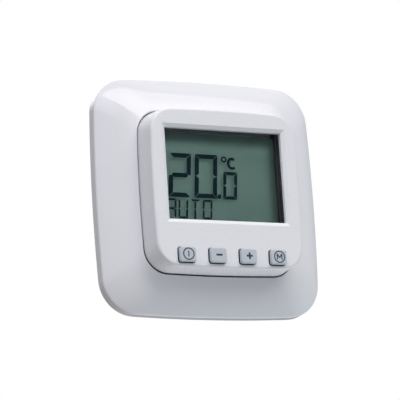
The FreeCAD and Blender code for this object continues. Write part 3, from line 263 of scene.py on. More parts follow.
def mouldedPlastic(name, values):
    # Injection or compression moulded plastic. Fine grain from the mould's surface breaks up the
    # gloss, slow waves from shrinkage bend reflections, and the colour drifts very slightly. The
    # grain is drawn coarser than the real tenth of a millimetre or less, so that it shows.
    v = {**plainMoulding, **values}
    material, tree = startMaterial(name)
    place = addNode(tree, "ShaderNodeTexCoord", {}).outputs["Object"]
    drift = addNode(tree, "ShaderNodeTexNoise", {
        "Vector": place, "Scale": perMetre(v["drift"]), "Detail": 2.0, "Roughness": 0.5,
    })
    tone = addNode(tree, "ShaderNodeMix", {
        "data_type": "RGBA", 0: drift.outputs["Fac"], 6: v["colour"], 7: v["secondColour"],
    })
    grain = addNode(tree, "ShaderNodeTexNoise", {
        "Vector": place, "Scale": perMetre(v["grain"]), "Detail": 2.0, "Roughness": 0.6,
    })
    waves = addNode(tree, "ShaderNodeTexNoise", {
        "Vector": place, "Scale": perMetre(v["waves"]), "Detail": 0.0,
    })
    slow = addNode(tree, "ShaderNodeBump", {
        "Strength": 1.0, "Distance": v["waveDepth"] * mm, "Height": waves.outputs["Fac"],
    })
    bump = addNode(tree, "ShaderNodeBump", {
        "Strength": 1.0, "Distance": v["grainDepth"] * mm, "Height": grain.outputs["Fac"],
        "Normal": slow.outputs["Normal"],
    })
    gloss = addNode(tree, "ShaderNodeMapRange", {
        "Value": grain.outputs["Fac"], "From Min": 0.3, "From Max": 0.7,
        "To Min": v["roughness"] - v["glossSpread"], "To Max": v["roughness"] + v["glossSpread"],
    })
    colour = tone.outputs[2]
    if "paintedShadeColour" in v:
        # Painted shade, darker from the given top (mm proud of the wall) backwards and darkest the given fade
        # further back. It reaches forward by the given lean for each mm that the place is lower.
        axes = addNode(tree, "ShaderNodeSeparateXYZ", {"Vector": place}).outputs
        depth = addNode(tree, "ShaderNodeMath", {
            "operation": "MULTIPLY_ADD", 0: axes["Z"], 1: -v["paintedShadeLean"], 2: axes["Y"],
        })
        share = addNode(tree, "ShaderNodeMapRange", {
            "interpolation_type": "SMOOTHSTEP", "Value": depth.outputs[0],
            "From Min": -v["paintedShadeTop"] * mm, "From Max": (v["paintedShadeFade"] - v["paintedShadeTop"]) * mm,
        })
        colour = addNode(tree, "ShaderNodeMix", {
            "data_type": "RGBA", 0: share.outputs[0], 6: colour, 7: v["paintedShadeColour"],
        }).outputs[2]
    endMaterial(tree, addNode(tree, "ShaderNodeBsdfPrincipled", {
        "Base Color": colour, "Roughness": gloss.outputs[0], "IOR": v["ior"],
        "Normal": bump.outputs["Normal"],
    }))
    return material


# ---- outlines and solids ----


def bowedOutline(half, corner, bow, notchHalf=9.0):
    # Four shallow side arcs joined by corner arcs, with fixed stops at the edges of the screw
    # notches. Returns the points and, for each, whether it lies in a notch.
    sideSteps, notchSteps, cornerSteps = 7, 8, 18
    brinkWidth = 0.02  # mm between the stops on the two sides of a notch's edge
    flat = half - corner
    sideRadius = (flat * flat + bow * bow) / (2 * bow)
    offset = half - sideRadius
    place = (offset + math.sqrt(2 * (sideRadius - corner) ** 2 - offset ** 2)) / 2
    swing = math.atan2(place, place - offset)
    edge = math.asin(notchHalf / sideRadius)
    brink = math.asin((notchHalf + brinkWidth) / sideRadius)
    outer = [brink + (swing - brink) * i / sideSteps for i in range(sideSteps + 1)]
    inner = [edge * (2 * i / notchSteps - 1) for i in range(notchSteps + 1)]
    stops = [-s for s in reversed(outer)] + inner + outer
    points, notched = [], []
    for turn in range(4):
        c, s = math.cos(turn * math.pi / 2), math.sin(turn * math.pi / 2)
        side = [(offset + sideRadius * math.cos(t), sideRadius * math.sin(t)) for t in stops]
        for k in range(1, cornerSteps):
            t = swing + (math.pi / 2 - 2 * swing) * k / cornerSteps
            side.append((place + corner * math.cos(t), place + corner * math.sin(t)))
        points += [(x * c - z * s, x * s + z * c) for x, z in side]
        notched += [abs(t) <= edge + 1e-9 for t in stops] + [False] * (cornerSteps - 1)
    return points, notched


def boxOutline(halfWidth, halfHeight, corner, centre=(0.0, 0.0), cornerSteps=6):
    points = []
    for turn, (sx, sz) in enumerate([(1, 1), (-1, 1), (-1, -1), (1, -1)]):
        for k in range(cornerSteps + 1):
            t = (turn + k / cornerSteps) * math.pi / 2
            points.append((
                centre[0] + sx * (halfWidth - corner) + corner * math.cos(t),
                centre[1] + sz * (halfHeight - corner) + corner * math.sin(t),
            ))
    return points


def roundOutline(radius, centre, steps=32):
    turns = [k * math.tau / steps for k in range(steps)]
    return [(centre[0] + radius * math.cos(t), centre[1] + radius * math.sin(t)) for t in turns]


def easedPath(points, steps=5, closed=False):
    # A path of (across, proud, radius) points with an arc of that radius at each bend, in mm
    eased = []
    for i, (a, p, radius) in enumerate(points):
        ends = i in (0, len(points) - 1) and not closed
        if radius == 0 or ends:
            eased.append((a, p))
            continue
        here = Vector((a, p))
        before = (Vector(points[i - 1][:2]) - here).normalized()
        after = (Vector(points[(i + 1) % len(points)][:2]) - here).normalized()
        half = before.angle(after) / 2
        reach = radius / math.tan(half)
        centre = here + (before + after).normalized() * (radius / math.sin(half))
        start, end = here + before * reach - centre, here + after * reach - centre
        swing = start.angle(end)
        for k in range(steps + 1):
            share = k / steps
            spoke = (start * math.sin((1 - share) * swing) + end * math.sin(share * swing)) / math.sin(swing)
            eased.append(tuple(centre + spoke))
    return eased


def addRing(bm, outline, proud):
    # proud is the height off the wall, one number or one for each point
    heights = proud if isinstance(proud, list) else [proud] * len(outline)
    return [bm.verts.new((x * mm, -p * mm, z * mm)) for (x, z), p in zip(outline, heights)]


def joinRings(bm, rings, closed=False, capped=False):
    pairs = list(zip(rings, rings[1:]))
    if closed:
        pairs.append((rings[-1], rings[0]))
    for lower, upper in pairs:
        count = len(lower)
        for i in range(count):
            bm.faces.new((lower[i], lower[(i + 1) % count], upper[(i + 1) % count], upper[i]))
    if capped:
        bm.faces.new(rings[0])
        bm.faces.new(rings[-1])


def ringEdges(bm, ring):
    pairs = zip(ring, ring[1:] + ring[:1])
    return [bm.edges.get(pair) or bm.edges.new(pair) for pair in pairs]


def fillBetween(bm, rings):
    # a flat face with holes, from the rings that bound it
    edges = [edge for ring in rings for edge in ringEdges(bm, ring)]
    bmesh.ops.triangle_fill(bm, use_beauty=True, use_dissolve=False, edges=edges, normal=(0, -1, 0))


def addPiece(name, bm, material, body, sharpAngle=32):
    bmesh.ops.remove_doubles(bm, verts=bm.verts, dist=1e-7)  # only points that fall together
    bmesh.ops.recalc_face_normals(bm, faces=bm.faces)
    mesh = bpy.data.meshes.new(name)
    bm.to_mesh(mesh)
    bm.free()
    mesh.polygons.foreach_set("use_smooth", [True] * len(mesh.polygons))
    mesh.set_sharp_from_angle(angle=math.radians(sharpAngle))
    mesh.materials.append(material)
    piece = bpy.data.objects.new(name, mesh)
    bpy.context.scene.collection.objects.link(piece)
    even = piece.modifiers.new("evenNormals", "WEIGHTED_NORMAL")
    even.weight = 100
    even.keep_sharp = True
    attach(piece, body)
    return piece


# ---- outer frame ----
outerFrame = {
    "half": 40.5,  # all lengths in mm
    "rimHeight": 3.5,
    "rimHalf": 40.33,
    "crownHeight": 10.2,
    "crownSlope": 0.33,  # share of the crown's fall that is straight
    "crownBend": 0.67,  # and the share that steepens towards the rim
    "openingHalf": 27.82,
    "openingCorner": 8.41,
    "cornerGrowth": 3.62,  # from the opening to the rim
    "openingBow": 0.34,
    "bowGrowth": 0.30,
    "wall": 2.0,
    "collar": 1.6,
    "collarFoot": 1.2,
    "ledge": 1.4,
    "ledgeHeight": 4.2,
    "notchHeight": 4.4,
    "footRound": 0.25,
    "rimRound": 1.0,
    "mouthRound": 0.35,
    "hiddenRound": 0.1,
    "crownSteps": 22,
    "undersideSteps": 10,
}
urea = mouldedPlastic("ureaCompressionMoulded", {
    # Urea moulding compound from a polished tool: hard white gloss with a faint orange peel.
    "colour": "#f9f8fa", "secondColour": "#f6f5f8", "roughness": 0.06, "glossSpread": 0.015,
    "grain": 0.6, "grainDepth": 0.0002, "waves": 5, "waveDepth": 0.0008,
})
shadedUrea = mouldedPlastic("ureaCollarPaintedShade", {
    # The same moulding inside the gap, painted darker as shade, with deeper brown painted shade towards its
    # lower edge.
    "colour": "#d6cfca", "secondColour": "#c9c1bb", "roughness": 0.6, "glossSpread": 0.08,
    "grain": 0.4, "grainDepth": 0.004, "drift": 5,
    "paintedShadeColour": "#3f332c", "paintedShadeTop": -3.0, "paintedShadeFade": 10.0, "paintedShadeLean": 1.0,
})


def crownPoint(share, inset=0.0):
    # from the opening (0) to the rim (1)
    v = outerFrame
    fall = (v["crownHeight"] - v["rimHeight"]) * (v["crownSlope"] * share + v["crownBend"] * share * share)
    across = v["openingHalf"] + share * (v["rimHalf"] - v["openingHalf"])
    return across - inset, v["crownHeight"] - fall - inset


def frameOutline(half):
    v = outerFrame
    share = (half - v["openingHalf"]) / (v["rimHalf"] - v["openingHalf"])
    corner = v["openingCorner"] + v["cornerGrowth"] * share
    return bowedOutline(half, corner, v["openingBow"] + v["bowGrowth"] * share)


def makeOuterFrame():
    # one closed section, swept round: foot, rim, crown, mouth, ledge, collar and the hollow underside
    v = outerFrame
    hidden, opening = v["hiddenRound"], v["openingHalf"]
    ledgeHalf, collarHalf = opening - v["ledge"], opening + v["collar"]
    crown = [crownPoint(1 - k / v["crownSteps"]) for k in range(2, v["crownSteps"])]
    start = (collarHalf + v["wall"] - opening) / (v["rimHalf"] - opening)
    shares = [start + (1 - start) * k / v["undersideSteps"] for k in range(v["undersideSteps"] + 1)]
    path = [
        (v["half"] - v["wall"], 0, hidden),
        (v["half"], 0, v["footRound"]),
        (v["rimHalf"], v["rimHeight"], v["rimRound"]),
    ]
    path += [(a, p, 0) for a, p in crown]
    path += [
        (opening, v["crownHeight"], v["mouthRound"]),
        (opening, v["ledgeHeight"], 0),
        (ledgeHalf, v["ledgeHeight"], hidden),
        (ledgeHalf, v["collarFoot"], hidden),
        (collarHalf, v["collarFoot"], hidden),
    ]
    path += [(*crownPoint(share, v["wall"]), 0) for share in shares]
    bm = bmesh.new()
    rings = []
    eased = easedPath(path, closed=True)
    slack = 0.01  # mm, for comparing places
    for a, p in eased:
        points, notched = frameOutline(a)
        heights = p
        if a < collarHalf + slack and p < v["notchHeight"]:
            # room over each box screw: the collar is cut back from its foot
            shallow = frameOutline(max(a, opening))[0]
            points = [s if cut else q for q, s, cut in zip(points, shallow, notched)]
            heights = [v["notchHeight"] if cut else p for cut in notched]
        rings.append(addRing(bm, points, heights))
    joinRings(bm, rings, closed=True)
    bm.faces.ensure_lookup_table()
    # faces inside the gap take the finish with painted shade
    gapTop = v["crownHeight"] - v["mouthRound"] + slack
    for i, here in enumerate(eased):
        across, proud = (max(pair) for pair in zip(here, eased[(i + 1) % len(eased)]))
        inGap = across < opening + 2 * slack and proud < gapTop
        for face in bm.faces[i * len(points):(i + 1) * len(points)]:
            face.material_index = int(inGap)
    piece = addPiece("coverFrame", bm, urea, "thermostat")
    piece.data.materials.append(shadedUrea)
    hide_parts("outer_frame")


makeOuterFrame()
print("outer frame made")

# ---- front cover ----
frontCover = {
    "half": 27.47,  # all lengths in mm, heights from the wall
    "corner": 8.06,
    "bow": 0.34,
    "foot": 4.2,
    "waist": 10.2,
    "faceHalf": 26.8,
    "face": 18.75,
    "wall": 1.5,
    "skin": 2.0,
    "footRounds": (0.2, 0.3),  # inside and outside
    "frontRound": 0.95,
    "windowHalf": (21.35, 15.35),
    "windowCentre": (0.0, 4.6),
    "windowCorner": 0.16,
    "cornerGrowth": 0.1,  # of the window's corner, for each mm that the bevel opens
    "bevel": 1.2,
    "bevelDepth": 0.7,
    "bevelLip": 0.2,  # flat strip round it
    "bevelRounds": (0.16, 0.14),  # at its top and its foot
    "brim": 0.1,  # where the face turns into a key's opening
    "brimRound": 0.08,
}
keys = {
    "names": ("power", "minus", "plus", "mode"),
    "pitch": 11.0,
    "half": (2.85, 2.35),
    "centre": -22.8,
    "corner": 0.6,
    "smallestCorner": 0.12,
    "cornerShrink": 0.6,  # how much of an inset its corners follow
    "gap": 0.3,
    "proud": 20.35,
    "edgeRound": 0.35,
    "topInset": 0.9,
    "flangeBack": 15.25,
    "flangeFront": 16.45,
    "flangeWider": 0.75,
    "flangeHigher": 0.2,
    "flangeShift": 0.8,  # its middle sits above the cap's
    "flangeShrink": 0.5,  # as cornerShrink, for the flange
    "flangeInset": 0.4,
    "hiddenRound": 0.15,
    "stemFoot": 14.1,
    "stemRadius": 1.5,
    "stemInset": 0.5,
    "overlap": 0.05,  # of the cap into its flange
    "switchHeight": -22.2,
}
satinAbs = mouldedPlastic("absSatinMoulded", {
    # ABS from a finely eroded tool: slightly cool white, satin, with a soft even grain.
    "colour": "#fafafc", "secondColour": "#f7f7f9", "roughness": 0.30, "glossSpread": 0.05,
    "grain": 0.45, "grainDepth": 0.0010, "waves": 7, "waveDepth": 0.003,
    # painted shade on the skirt's foot inside the gap, reaching higher towards the bottom
    "paintedShadeColour": "#4b3b32", "paintedShadeTop": 8.6, "paintedShadeFade": 0.35, "paintedShadeLean": 0.066,
})


def keyCentre(place):
    return ((place - 1.5) * keys["pitch"], keys["centre"])


def makeFrontCover():
    # the skirt with its leaning walls, then the face around the window and the keys' openings
    v = frontCover
    bm = bmesh.new()
    inner, face, back = v["half"] - v["wall"], v["face"], v["face"] - v["skin"]
    footInner, footOuter = v["footRounds"]
    path = [
        (inner, back, 0),
        (inner, v["foot"], footInner),
        (v["half"], v["foot"], footOuter),
        (v["half"], v["waist"], 0),
        (v["faceHalf"], face, v["frontRound"]),
        (inner, face, 0),  # only says which way the face runs
    ]
    rings = []
    for a, p in easedPath(path, steps=8)[:-1]:
        # corners run parallel to the skirt, and above the waist to the face's edge down to the
        # wall's inner side
        leaning = p > v["waist"] and a > inner
        setBack = max(0.0, v["faceHalf"] - a) if leaning else v["half"] - a
        rings.append(addRing(bm, bowedOutline(a, v["corner"] - setBack, v["bow"])[0], p))
    joinRings(bm, rings)
    faceLoops, backLoops = [rings[-1]], [rings[0]]

    bevel = v["bevel"]
    topRound, sillRound = v["bevelRounds"]
    slope = easedPath([
        (bevel + v["bevelLip"], face, 0), (bevel, face, topRound),
        (0, face - v["bevelDepth"], sillRound), (0, back, 0),
    ], steps=4)
    wide, high = v["windowHalf"]
    window = []
    for t, p in slope:
        corner = v["windowCorner"] + v["cornerGrowth"] * t
        window.append(addRing(bm, boxOutline(wide + t, high + t, corner, v["windowCentre"]), p))
    joinRings(bm, window)
    faceLoops.append(window[0])
    backLoops.append(window[-1])

    brim = easedPath([(v["brim"], face, 0), (0, face, v["brimRound"]), (0, back, 0)], steps=4)
    wide, high = (half + keys["gap"] for half in keys["half"])
    corner = keys["corner"] + keys["gap"]
    for place in range(len(keys["names"])):
        centre = keyCentre(place)
        hole = [addRing(bm, boxOutline(wide + t, high + t, corner + t, centre), p) for t, p in brim]
        joinRings(bm, hole)
        faceLoops.append(hole[0])
        backLoops.append(hole[-1])
    fillBetween(bm, faceLoops)
    fillBetween(bm, backLoops)
    piece = addPiece("centreCover", bm, satinAbs, "thermostat")
    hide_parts("front_cover")


makeFrontCover()
print("front cover made")

# ---- keys and their symbols ----
keyPlastic = mouldedPlastic("absKeyCap", {
    # ABS caps, blue-grey and semi-matt, so that their tops look softer than the cover's.
    "colour": "#d0d7dc", "secondColour": "#cbd2d8", "roughness": 0.38, "glossSpread": 0.05,
    "grain": 0.4, "grainDepth": 0.0015, "waves": 3, "waveDepth": 0.002,
    # painted shade round the foot of each cap, where it stands out of the cover
    "paintedShadeColour": "#3c4250", "paintedShadeTop": 19.2, "paintedShadeFade": 0.3,
})
symbols = {
    "colour": "#343a50",
    "secondColour": "#3e455c",
    "speck": 0.25,
    "speckDepth": 0.001,
    "ringRadius": 1.86,
    "line": 0.40,
    "barHeight": 1.9,
    "signWidth": 2.2,
    "signLine": 0.66,
    "letterHalf": (0.84, 0.98),
    "letterDip": -0.35,  # how low the middle of the M comes
    "lift": 0.012,
    "sunk": 0.02,  # into the cap
    "shift": (0.1, 0.1),  # from the cap's middle
}


def makePrintInk():
    # Pad-printed two-part ink: a thin dark film, slightly duller than the cap under it. Its specks
    # are drawn coarser than real ones, so that they show.
    material, tree = startMaterial("padPrintedInk")
    place = addNode(tree, "ShaderNodeTexCoord", {}).outputs["Object"]
    speck = addNode(tree, "ShaderNodeTexNoise", {
        "Vector": place, "Scale": perMetre(symbols["speck"]), "Detail": 3.0,
    })
    tone = addNode(tree, "ShaderNodeMix", {
        "data_type": "RGBA", 0: speck.outputs["Fac"], 6: symbols["colour"], 7: symbols["secondColour"],
    })
    bump = addNode(tree, "ShaderNodeBump", {
        "Strength": 1.0, "Distance": symbols["speckDepth"] * mm, "Height": speck.outputs["Fac"],
    })
    endMaterial(tree, addNode(tree, "ShaderNodeBsdfPrincipled", {
        "Base Color": tone.outputs[2], "Roughness": 0.5, "Normal": bump.outputs["Normal"],
    }))
    return material


printInk = makePrintInk()


def addPlate(bm, outline, low, high):
    joinRings(bm, [addRing(bm, outline, low), addRing(bm, outline, high)], capped=True)


def addRingPlate(bm, radius, line, centre, low, high):
    outer, inner = (roundOutline(radius + side * line / 2, centre, 48) for side in (1, -1))
    path = ((outer, low), (outer, high), (inner, high), (inner, low))
    joinRings(bm, [addRing(bm, outline, p) for outline, p in path], closed=True)


def strokeOutline(start, end, line):
    # the four corners of a straight stroke
    a, b = Vector(start), Vector(end)
    along = (b - a).normalized()
    across = Vector((-along.y, along.x)) * line / 2
    return [tuple(q) for q in (a - across, b - across, b + across, a + across)]


def makeKeys():
    # each key is a cap, the flange that holds it behind the cover, and a stem down to its switch
    v = keys
    (wide, high), hidden = v["half"], v["hiddenRound"]
    capPath = easedPath([
        (0, v["flangeFront"] - v["overlap"], 0), (0, v["proud"], v["edgeRound"]),
        (-v["topInset"], v["proud"], 0),
    ], steps=7)
    flangePath = easedPath([
        (-v["flangeInset"], v["flangeBack"], 0), (0, v["flangeBack"], hidden),
        (0, v["flangeFront"], hidden), (-v["flangeInset"], v["flangeFront"], 0),
    ])
    stemPath = easedPath([
        (-v["stemInset"], v["stemFoot"], 0), (0, v["stemFoot"], hidden), (0, v["flangeBack"], 0),
    ])
    flangeWide, flangeHigh = wide + v["flangeWider"], high + v["flangeHigher"]
    for place, name in enumerate(v["names"]):
        centre = keyCentre(place)
        bm = bmesh.new()
        rings = []
        for t, p in capPath:
            corner = max(v["smallestCorner"], v["corner"] + t * v["cornerShrink"])
            rings.append(addRing(bm, boxOutline(wide + t, high + t, corner, centre), p))
        joinRings(bm, rings, capped=True)
        rings = []
        middle = (centre[0], centre[1] + v["flangeShift"])
        for t, p in flangePath:
            corner = v["corner"] + t * v["flangeShrink"]
            rings.append(addRing(bm, boxOutline(flangeWide + t, flangeHigh + t, corner, middle), p))
        joinRings(bm, rings, capped=True)
        foot = (centre[0], v["switchHeight"])
        rings = [addRing(bm, roundOutline(v["stemRadius"] + t, foot), p) for t, p in stemPath]
        joinRings(bm, rings, capped=True)
        piece = addPiece(name + "Cap", bm, keyPlastic, name + "_key")
        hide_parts(name + "_button")
        makeSymbol(name, centre)


def makeSymbol(name, centre):
    v = symbols
    x, z = centre[0] + v["shift"][0], centre[1] + v["shift"][1]
    low, high = keys["proud"] - v["sunk"], keys["proud"] + v["lift"]
    bm = bmesh.new()
    if name in ("power", "mode"):
        addRingPlate(bm, v["ringRadius"], v["line"], (x, z), low, high)
    if name == "power":
        half = v["barHeight"] / 2
        addPlate(bm, strokeOutline((x, z - half), (x, z + half), v["line"]), low, high)
    if name in ("minus", "plus"):
        half = v["signWidth"] / 2
        addPlate(bm, strokeOutline((x - half, z), (x + half, z), v["signLine"]), low, high)
    if name == "plus":
        inner = v["signLine"] / 2 - 0.01  # just inside the level bar
        for start, end in ((-half, -inner), (inner, half)):
            addPlate(bm, strokeOutline((x, z + start), (x, z + end), v["signLine"]), low, high)
    if name == "mode":
        wide, tall = v["letterHalf"]
        legs = [(-wide, -tall), (-wide, tall), (0, v["letterDip"]), (wide, tall), (wide, -tall)]
        points = [(x + a, z + b) for a, b in legs]
        for i, (start, end) in enumerate(zip(points, points[1:])):
            # no two legs of the M share a top face
            addPlate(bm, strokeOutline(start, end, v["line"]), low, high + 0.001 * i)
    addPiece(name + "Symbol", bm, printInk, name + "_key")


makeKeys()
print("keys made")


def clearSheet(name, values):
    # A flat clear sheet: light goes straight through with a faint tint, and the surface mirrors
    # more the flatter it is seen. Rubbing marks make that mirror a little uneven.
    material, tree = startMaterial(name)
    place = addNode(tree, "ShaderNodeTexCoord", {}).outputs["Object"]
    rub = addNode(tree, "ShaderNodeTexNoise", {
        "Vector": place, "Scale": perMetre(values["rub"]), "Detail": 4.0,
    })
    haze = addNode(tree, "ShaderNodeMapRange", {
        "Value": rub.outputs["Fac"], "From Min": 0.35, "From Max": 0.7,
        "To Min": 0.01, "To Max": values["haze"],
    })
    through = addNode(tree, "ShaderNodeBsdfTransparent", {"Color": values["tint"]})
    mirror = addNode(tree, "ShaderNodeBsdfGlossy", {"Color": "#ffffff", "Roughness": haze.outputs[0]})
    slant = addNode(tree, "ShaderNodeLayerWeight", {"Blend": 0.5}).outputs["Facing"]
    rise = addNode(tree, "ShaderNodeMath", {"operation": "POWER", 0: slant, 1: 5.0})
    straight = ((values["ior"] - 1) / (values["ior"] + 1)) ** 2  # mirrored share straight on
    share = addNode(tree, "ShaderNodeMath", {
        "operation": "MULTIPLY_ADD", 0: rise.outputs[0], 1: 1 - straight, 2: straight,
    })
    endMaterial(tree, addNode(tree, "ShaderNodeMixShader", {
        0: share.outputs[0], 1: through.outputs[0], 2: mirror.outputs[0],
    }))
    return material


def pearledFoil(name, values):
    # Reflective polariser foil: grey-green, finely pearled, with broad clouds from its lamination.
    # The pearls are drawn coarser than the real ones, so that they show.
    material, tree = startMaterial(name)
    place = addNode(tree, "ShaderNodeTexCoord", {}).outputs["Object"]
    pearl = addNode(tree, "ShaderNodeTexNoise", {
        "Vector": place, "Scale": perMetre(values["pearl"]), "Detail": 2.0,
    })
    cloud = addNode(tree, "ShaderNodeTexNoise", {
        "Vector": place, "Scale": perMetre(values["cloud"]), "Detail": 2.0,
    })
    both = addNode(tree, "ShaderNodeMath", {
        "operation": "MULTIPLY_ADD", 0: pearl.outputs["Fac"], 1: 0.4, 2: cloud.outputs["Fac"],
    })
    share = addNode(tree, "ShaderNodeMapRange", {
        "Value": both.outputs[0], "From Min": 0.45, "From Max": 0.95,
    })
    tone = addNode(tree, "ShaderNodeMix", {
        "data_type": "RGBA", 0: share.outputs[0], 6: values["colour"], 7: values["secondColour"],
    })
    # painted light: the foil is drawn paler towards its upper border, lifting the shade that falls there
    height = addNode(tree, "ShaderNodeSeparateXYZ", {"Vector": place}).outputs["Z"]
    rim = addNode(tree, "ShaderNodeMapRange", {
        "interpolation_type": "SMOOTHSTEP", "Value": height,
        "From Min": values["paintedLightStart"] * mm, "From Max": values["paintedLightEnd"] * mm,
    })
    edged = addNode(tree, "ShaderNodeMix", {
        "data_type": "RGBA", 0: rim.outputs[0], 6: tone.outputs[2], 7: values["paintedLightColour"],
    })
    bump = addNode(tree, "ShaderNodeBump", {
        "Strength": 1.0, "Distance": values["pearlDepth"] * mm, "Height": pearl.outputs["Fac"],
    })
    endMaterial(tree, addNode(tree, "ShaderNodeBsdfPrincipled", {
        "Base Color": edged.outputs[2], "Metallic": values["metallic"], "Roughness": values["roughness"],
        "Normal": bump.outputs["Normal"],
    }))
    return material


# ---- display ----
display = {
    "segmentLayer": 13.5,  # mm off the wall, between the two glasses
    "layerThick": 0.03,
    "shift": (0.55, 0.28),  # of all the characters together
    "slant": 0.078,
    "gap": 0.10,
    "ink": "#0b1c26",
    "secondInk": "#12303a",
    "groundEdge": 0.1,
    "cellCorner": 0.1,
    "foilGap": 0.02,  # between the cell and the foil behind it
    "foilMargin": 0.05,
    "foilCorner": 0.5,
    "foilRound": 0.06,
    "foilInset": 0.3,
}
reflectorFoil = {
    "colour": "#7e9b96",
    "secondColour": "#85a09a",
    # painted light towards the top of the foil, between these heights
    "paintedLightColour": "#9fc0b8",
    "paintedLightStart": 11.0,  # heights in mm
    "paintedLightEnd": 17.5,
    "pearl": 0.5,
    "pearlDepth": 0.003,
    "cloud": 11,
    "metallic": 0.75,
    "roughness": 0.52,
}
smallMarks = {  # mm from the middle of the display
    "point": ((-2.1, -2.6), (-0.65, -2.6), (-0.35, -1.1), (-1.45, -1.1)),
    "degreeCentre": (1.4, 10.9),
    "degreeRadius": 0.78,
    "degreeLine": 0.55,
    "letterCentre": (4.3, 9.6),
    "letterOuter": (2.1 * 0.88, 2.1),  # half widths and half heights of the C
    "letterInner": (1.2 * 0.74, 1.2),
    "letterTurn": (48, 312, 12),  # degrees: first, last and step
}


def makeSegmentInk():
    # Switched liquid crystal between crossed polarisers: deep blue-green, almost black, a little
    # uneven.
    material, tree = startMaterial("switchedLiquidCrystal")
    place = addNode(tree, "ShaderNodeTexCoord", {}).outputs["Object"]
    cloud = addNode(tree, "ShaderNodeTexNoise", {"Vector": place, "Scale": perMetre(1.2), "Detail": 3.0})
    tone = addNode(tree, "ShaderNodeMix", {
        "data_type": "RGBA", 0: cloud.outputs["Fac"], 6: display["ink"], 7: display["secondInk"],
    })
    endMaterial(tree, addNode(tree, "ShaderNodeBsdfPrincipled", {
        "Base Color": tone.outputs[2], "Roughness": 0.6, "Specular IOR Level": 0.1,
    }))
    return material


segmentInk = makeSegmentInk()
cellGlass = clearSheet("polarisedGlass", {"tint": "#fcfefd", "ior": 1.3, "haze": 0.04, "rub": 14})


def segmentShapes(width, height, line, gap):
    # seven bars with mitred ends, lettered as on any such display, and the middle uprights (i, l)
    w, h, t, g = width, height, line, gap
    middle, left, right = h / 2, w / 2 - t / 2, w / 2 + t / 2
    return {
        "a": [(g, h), (w - g, h), (w - t - g, h - t), (t + g, h - t)],
        "d": [(g, 0), (t + g, t), (w - t - g, t), (w - g, 0)],
        "f": [(0, h - g), (t, h - t - g), (t, middle + t / 2), (t / 2, middle + g), (0, middle + g)],
        "b": [(w, h - g), (w, middle + g), (w - t / 2, middle + g), (w - t, middle + t / 2),
              (w - t, h - t - g)],
        "e": [(0, g), (0, middle - g), (t / 2, middle - g), (t, middle - t / 2), (t, t + g)],
        "c": [(w, g), (w - t, t + g), (w - t, middle - t / 2), (w - t / 2, middle - g), (w, middle - g)],
        "g": [(t / 2 + g, middle), (t + g, middle + t / 2), (w - t - g, middle + t / 2),
              (w - t / 2 - g, middle), (w - t - g, middle - t / 2), (t + g, middle - t / 2)],
        "i": [(left, h - t - g), (right, h - t - g), (right, middle + g), (left, middle + g)],
        "l": [(left, middle - g), (right, middle - g), (right, 0), (left, 0)],
    }


characters = [
    # bars, left, foot, width, height, line: first the temperature, then the word below it
    ("abged", -19.6, -2.6, 7.9, 14.85, 1.5),
    ("abcdef", -10.25, -2.6, 8.2, 14.85, 1.5),
    ("abcdef", 0.25, -2.7, 5.1, 9.4, 1.1),
    ("abcefg", -20.85, -9.75, 3.5, 6.6, 0.68),
    ("bcdef", -16.6, -9.75, 3.5, 6.6, 0.68),
    ("ail", -12.3, -9.75, 3.6, 6.6, 0.68),
    ("abcdef", -7.8, -9.75, 3.5, 6.6, 0.68),
]


def makeSegments():
    v = display
    low, high = v["segmentLayer"], v["segmentLayer"] + v["layerThick"]
    dx, dz = v["shift"]
    bm = bmesh.new()
    for bars, left, foot, width, height, line in characters:
        shapes = segmentShapes(width, height, line, v["gap"])
        for bar in bars:
            outline = [(left + x + v["slant"] * z + dx, foot + z + dz) for x, z in shapes[bar]]
            addPlate(bm, outline, low, high)
    m = smallMarks
    addPlate(bm, [(x + dx, z + dz) for x, z in m["point"]], low, high)
    centre = (m["degreeCentre"][0] + dx, m["degreeCentre"][1] + dz)
    addRingPlate(bm, m["degreeRadius"], m["degreeLine"], centre, low, high)
    first, last, step = m["letterTurn"]
    arc = [math.radians(angle) for angle in range(first, last + 1, step)]
    x, z = m["letterCentre"][0] + dx, m["letterCentre"][1] + dz
    letter = []
    for (wide, tall), turns in ((m["letterOuter"], arc), (m["letterInner"], reversed(arc))):
        letter += [(x + wide * math.cos(t), z + tall * math.sin(t)) for t in turns]
    addPlate(bm, letter, low, high)
    piece = addPiece("displaySegments", bm, segmentInk, "thermostat")
    piece.visible_shadow = False  # switched crystal only blocks light that passes both polarisers


makeSegments()


def makeDisplayCell():
    # Both glasses bonded into one stepped cell, with its edges lightly ground
    lowFront, highFront = (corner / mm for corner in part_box("display_front_glass"))
    lowRear, highRear = (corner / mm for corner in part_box("display_rear_glass"))
    back, step, front = -highRear.y + display["foilGap"], -highFront.y, -lowFront.y
    ground = display["groundEdge"]
    path = [
        (lowRear, highRear, back, -ground),
        (lowRear, highRear, back + ground, 0),
        (lowRear, highRear, step, 0),
        (lowFront, highFront, step, 0),
        (lowFront, highFront, front - ground, 0),
        (lowFront, highFront, front, -ground),
    ]
    bm = bmesh.new()
    rings = []
    for low, high, proud, inset in path:
        centre = ((low.x + high.x) / 2, (low.z + high.z) / 2)
        wide, tall = (high.x - low.x) / 2 + inset, (high.z - low.z) / 2 + inset
        rings.append(addRing(bm, boxOutline(wide, tall, display["cellCorner"], centre, 2), proud))
    joinRings(bm, rings, capped=True)
    piece = addPiece("displayCell", bm, cellGlass, "thermostat")
    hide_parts("display_front_glass", "display_rear_glass")


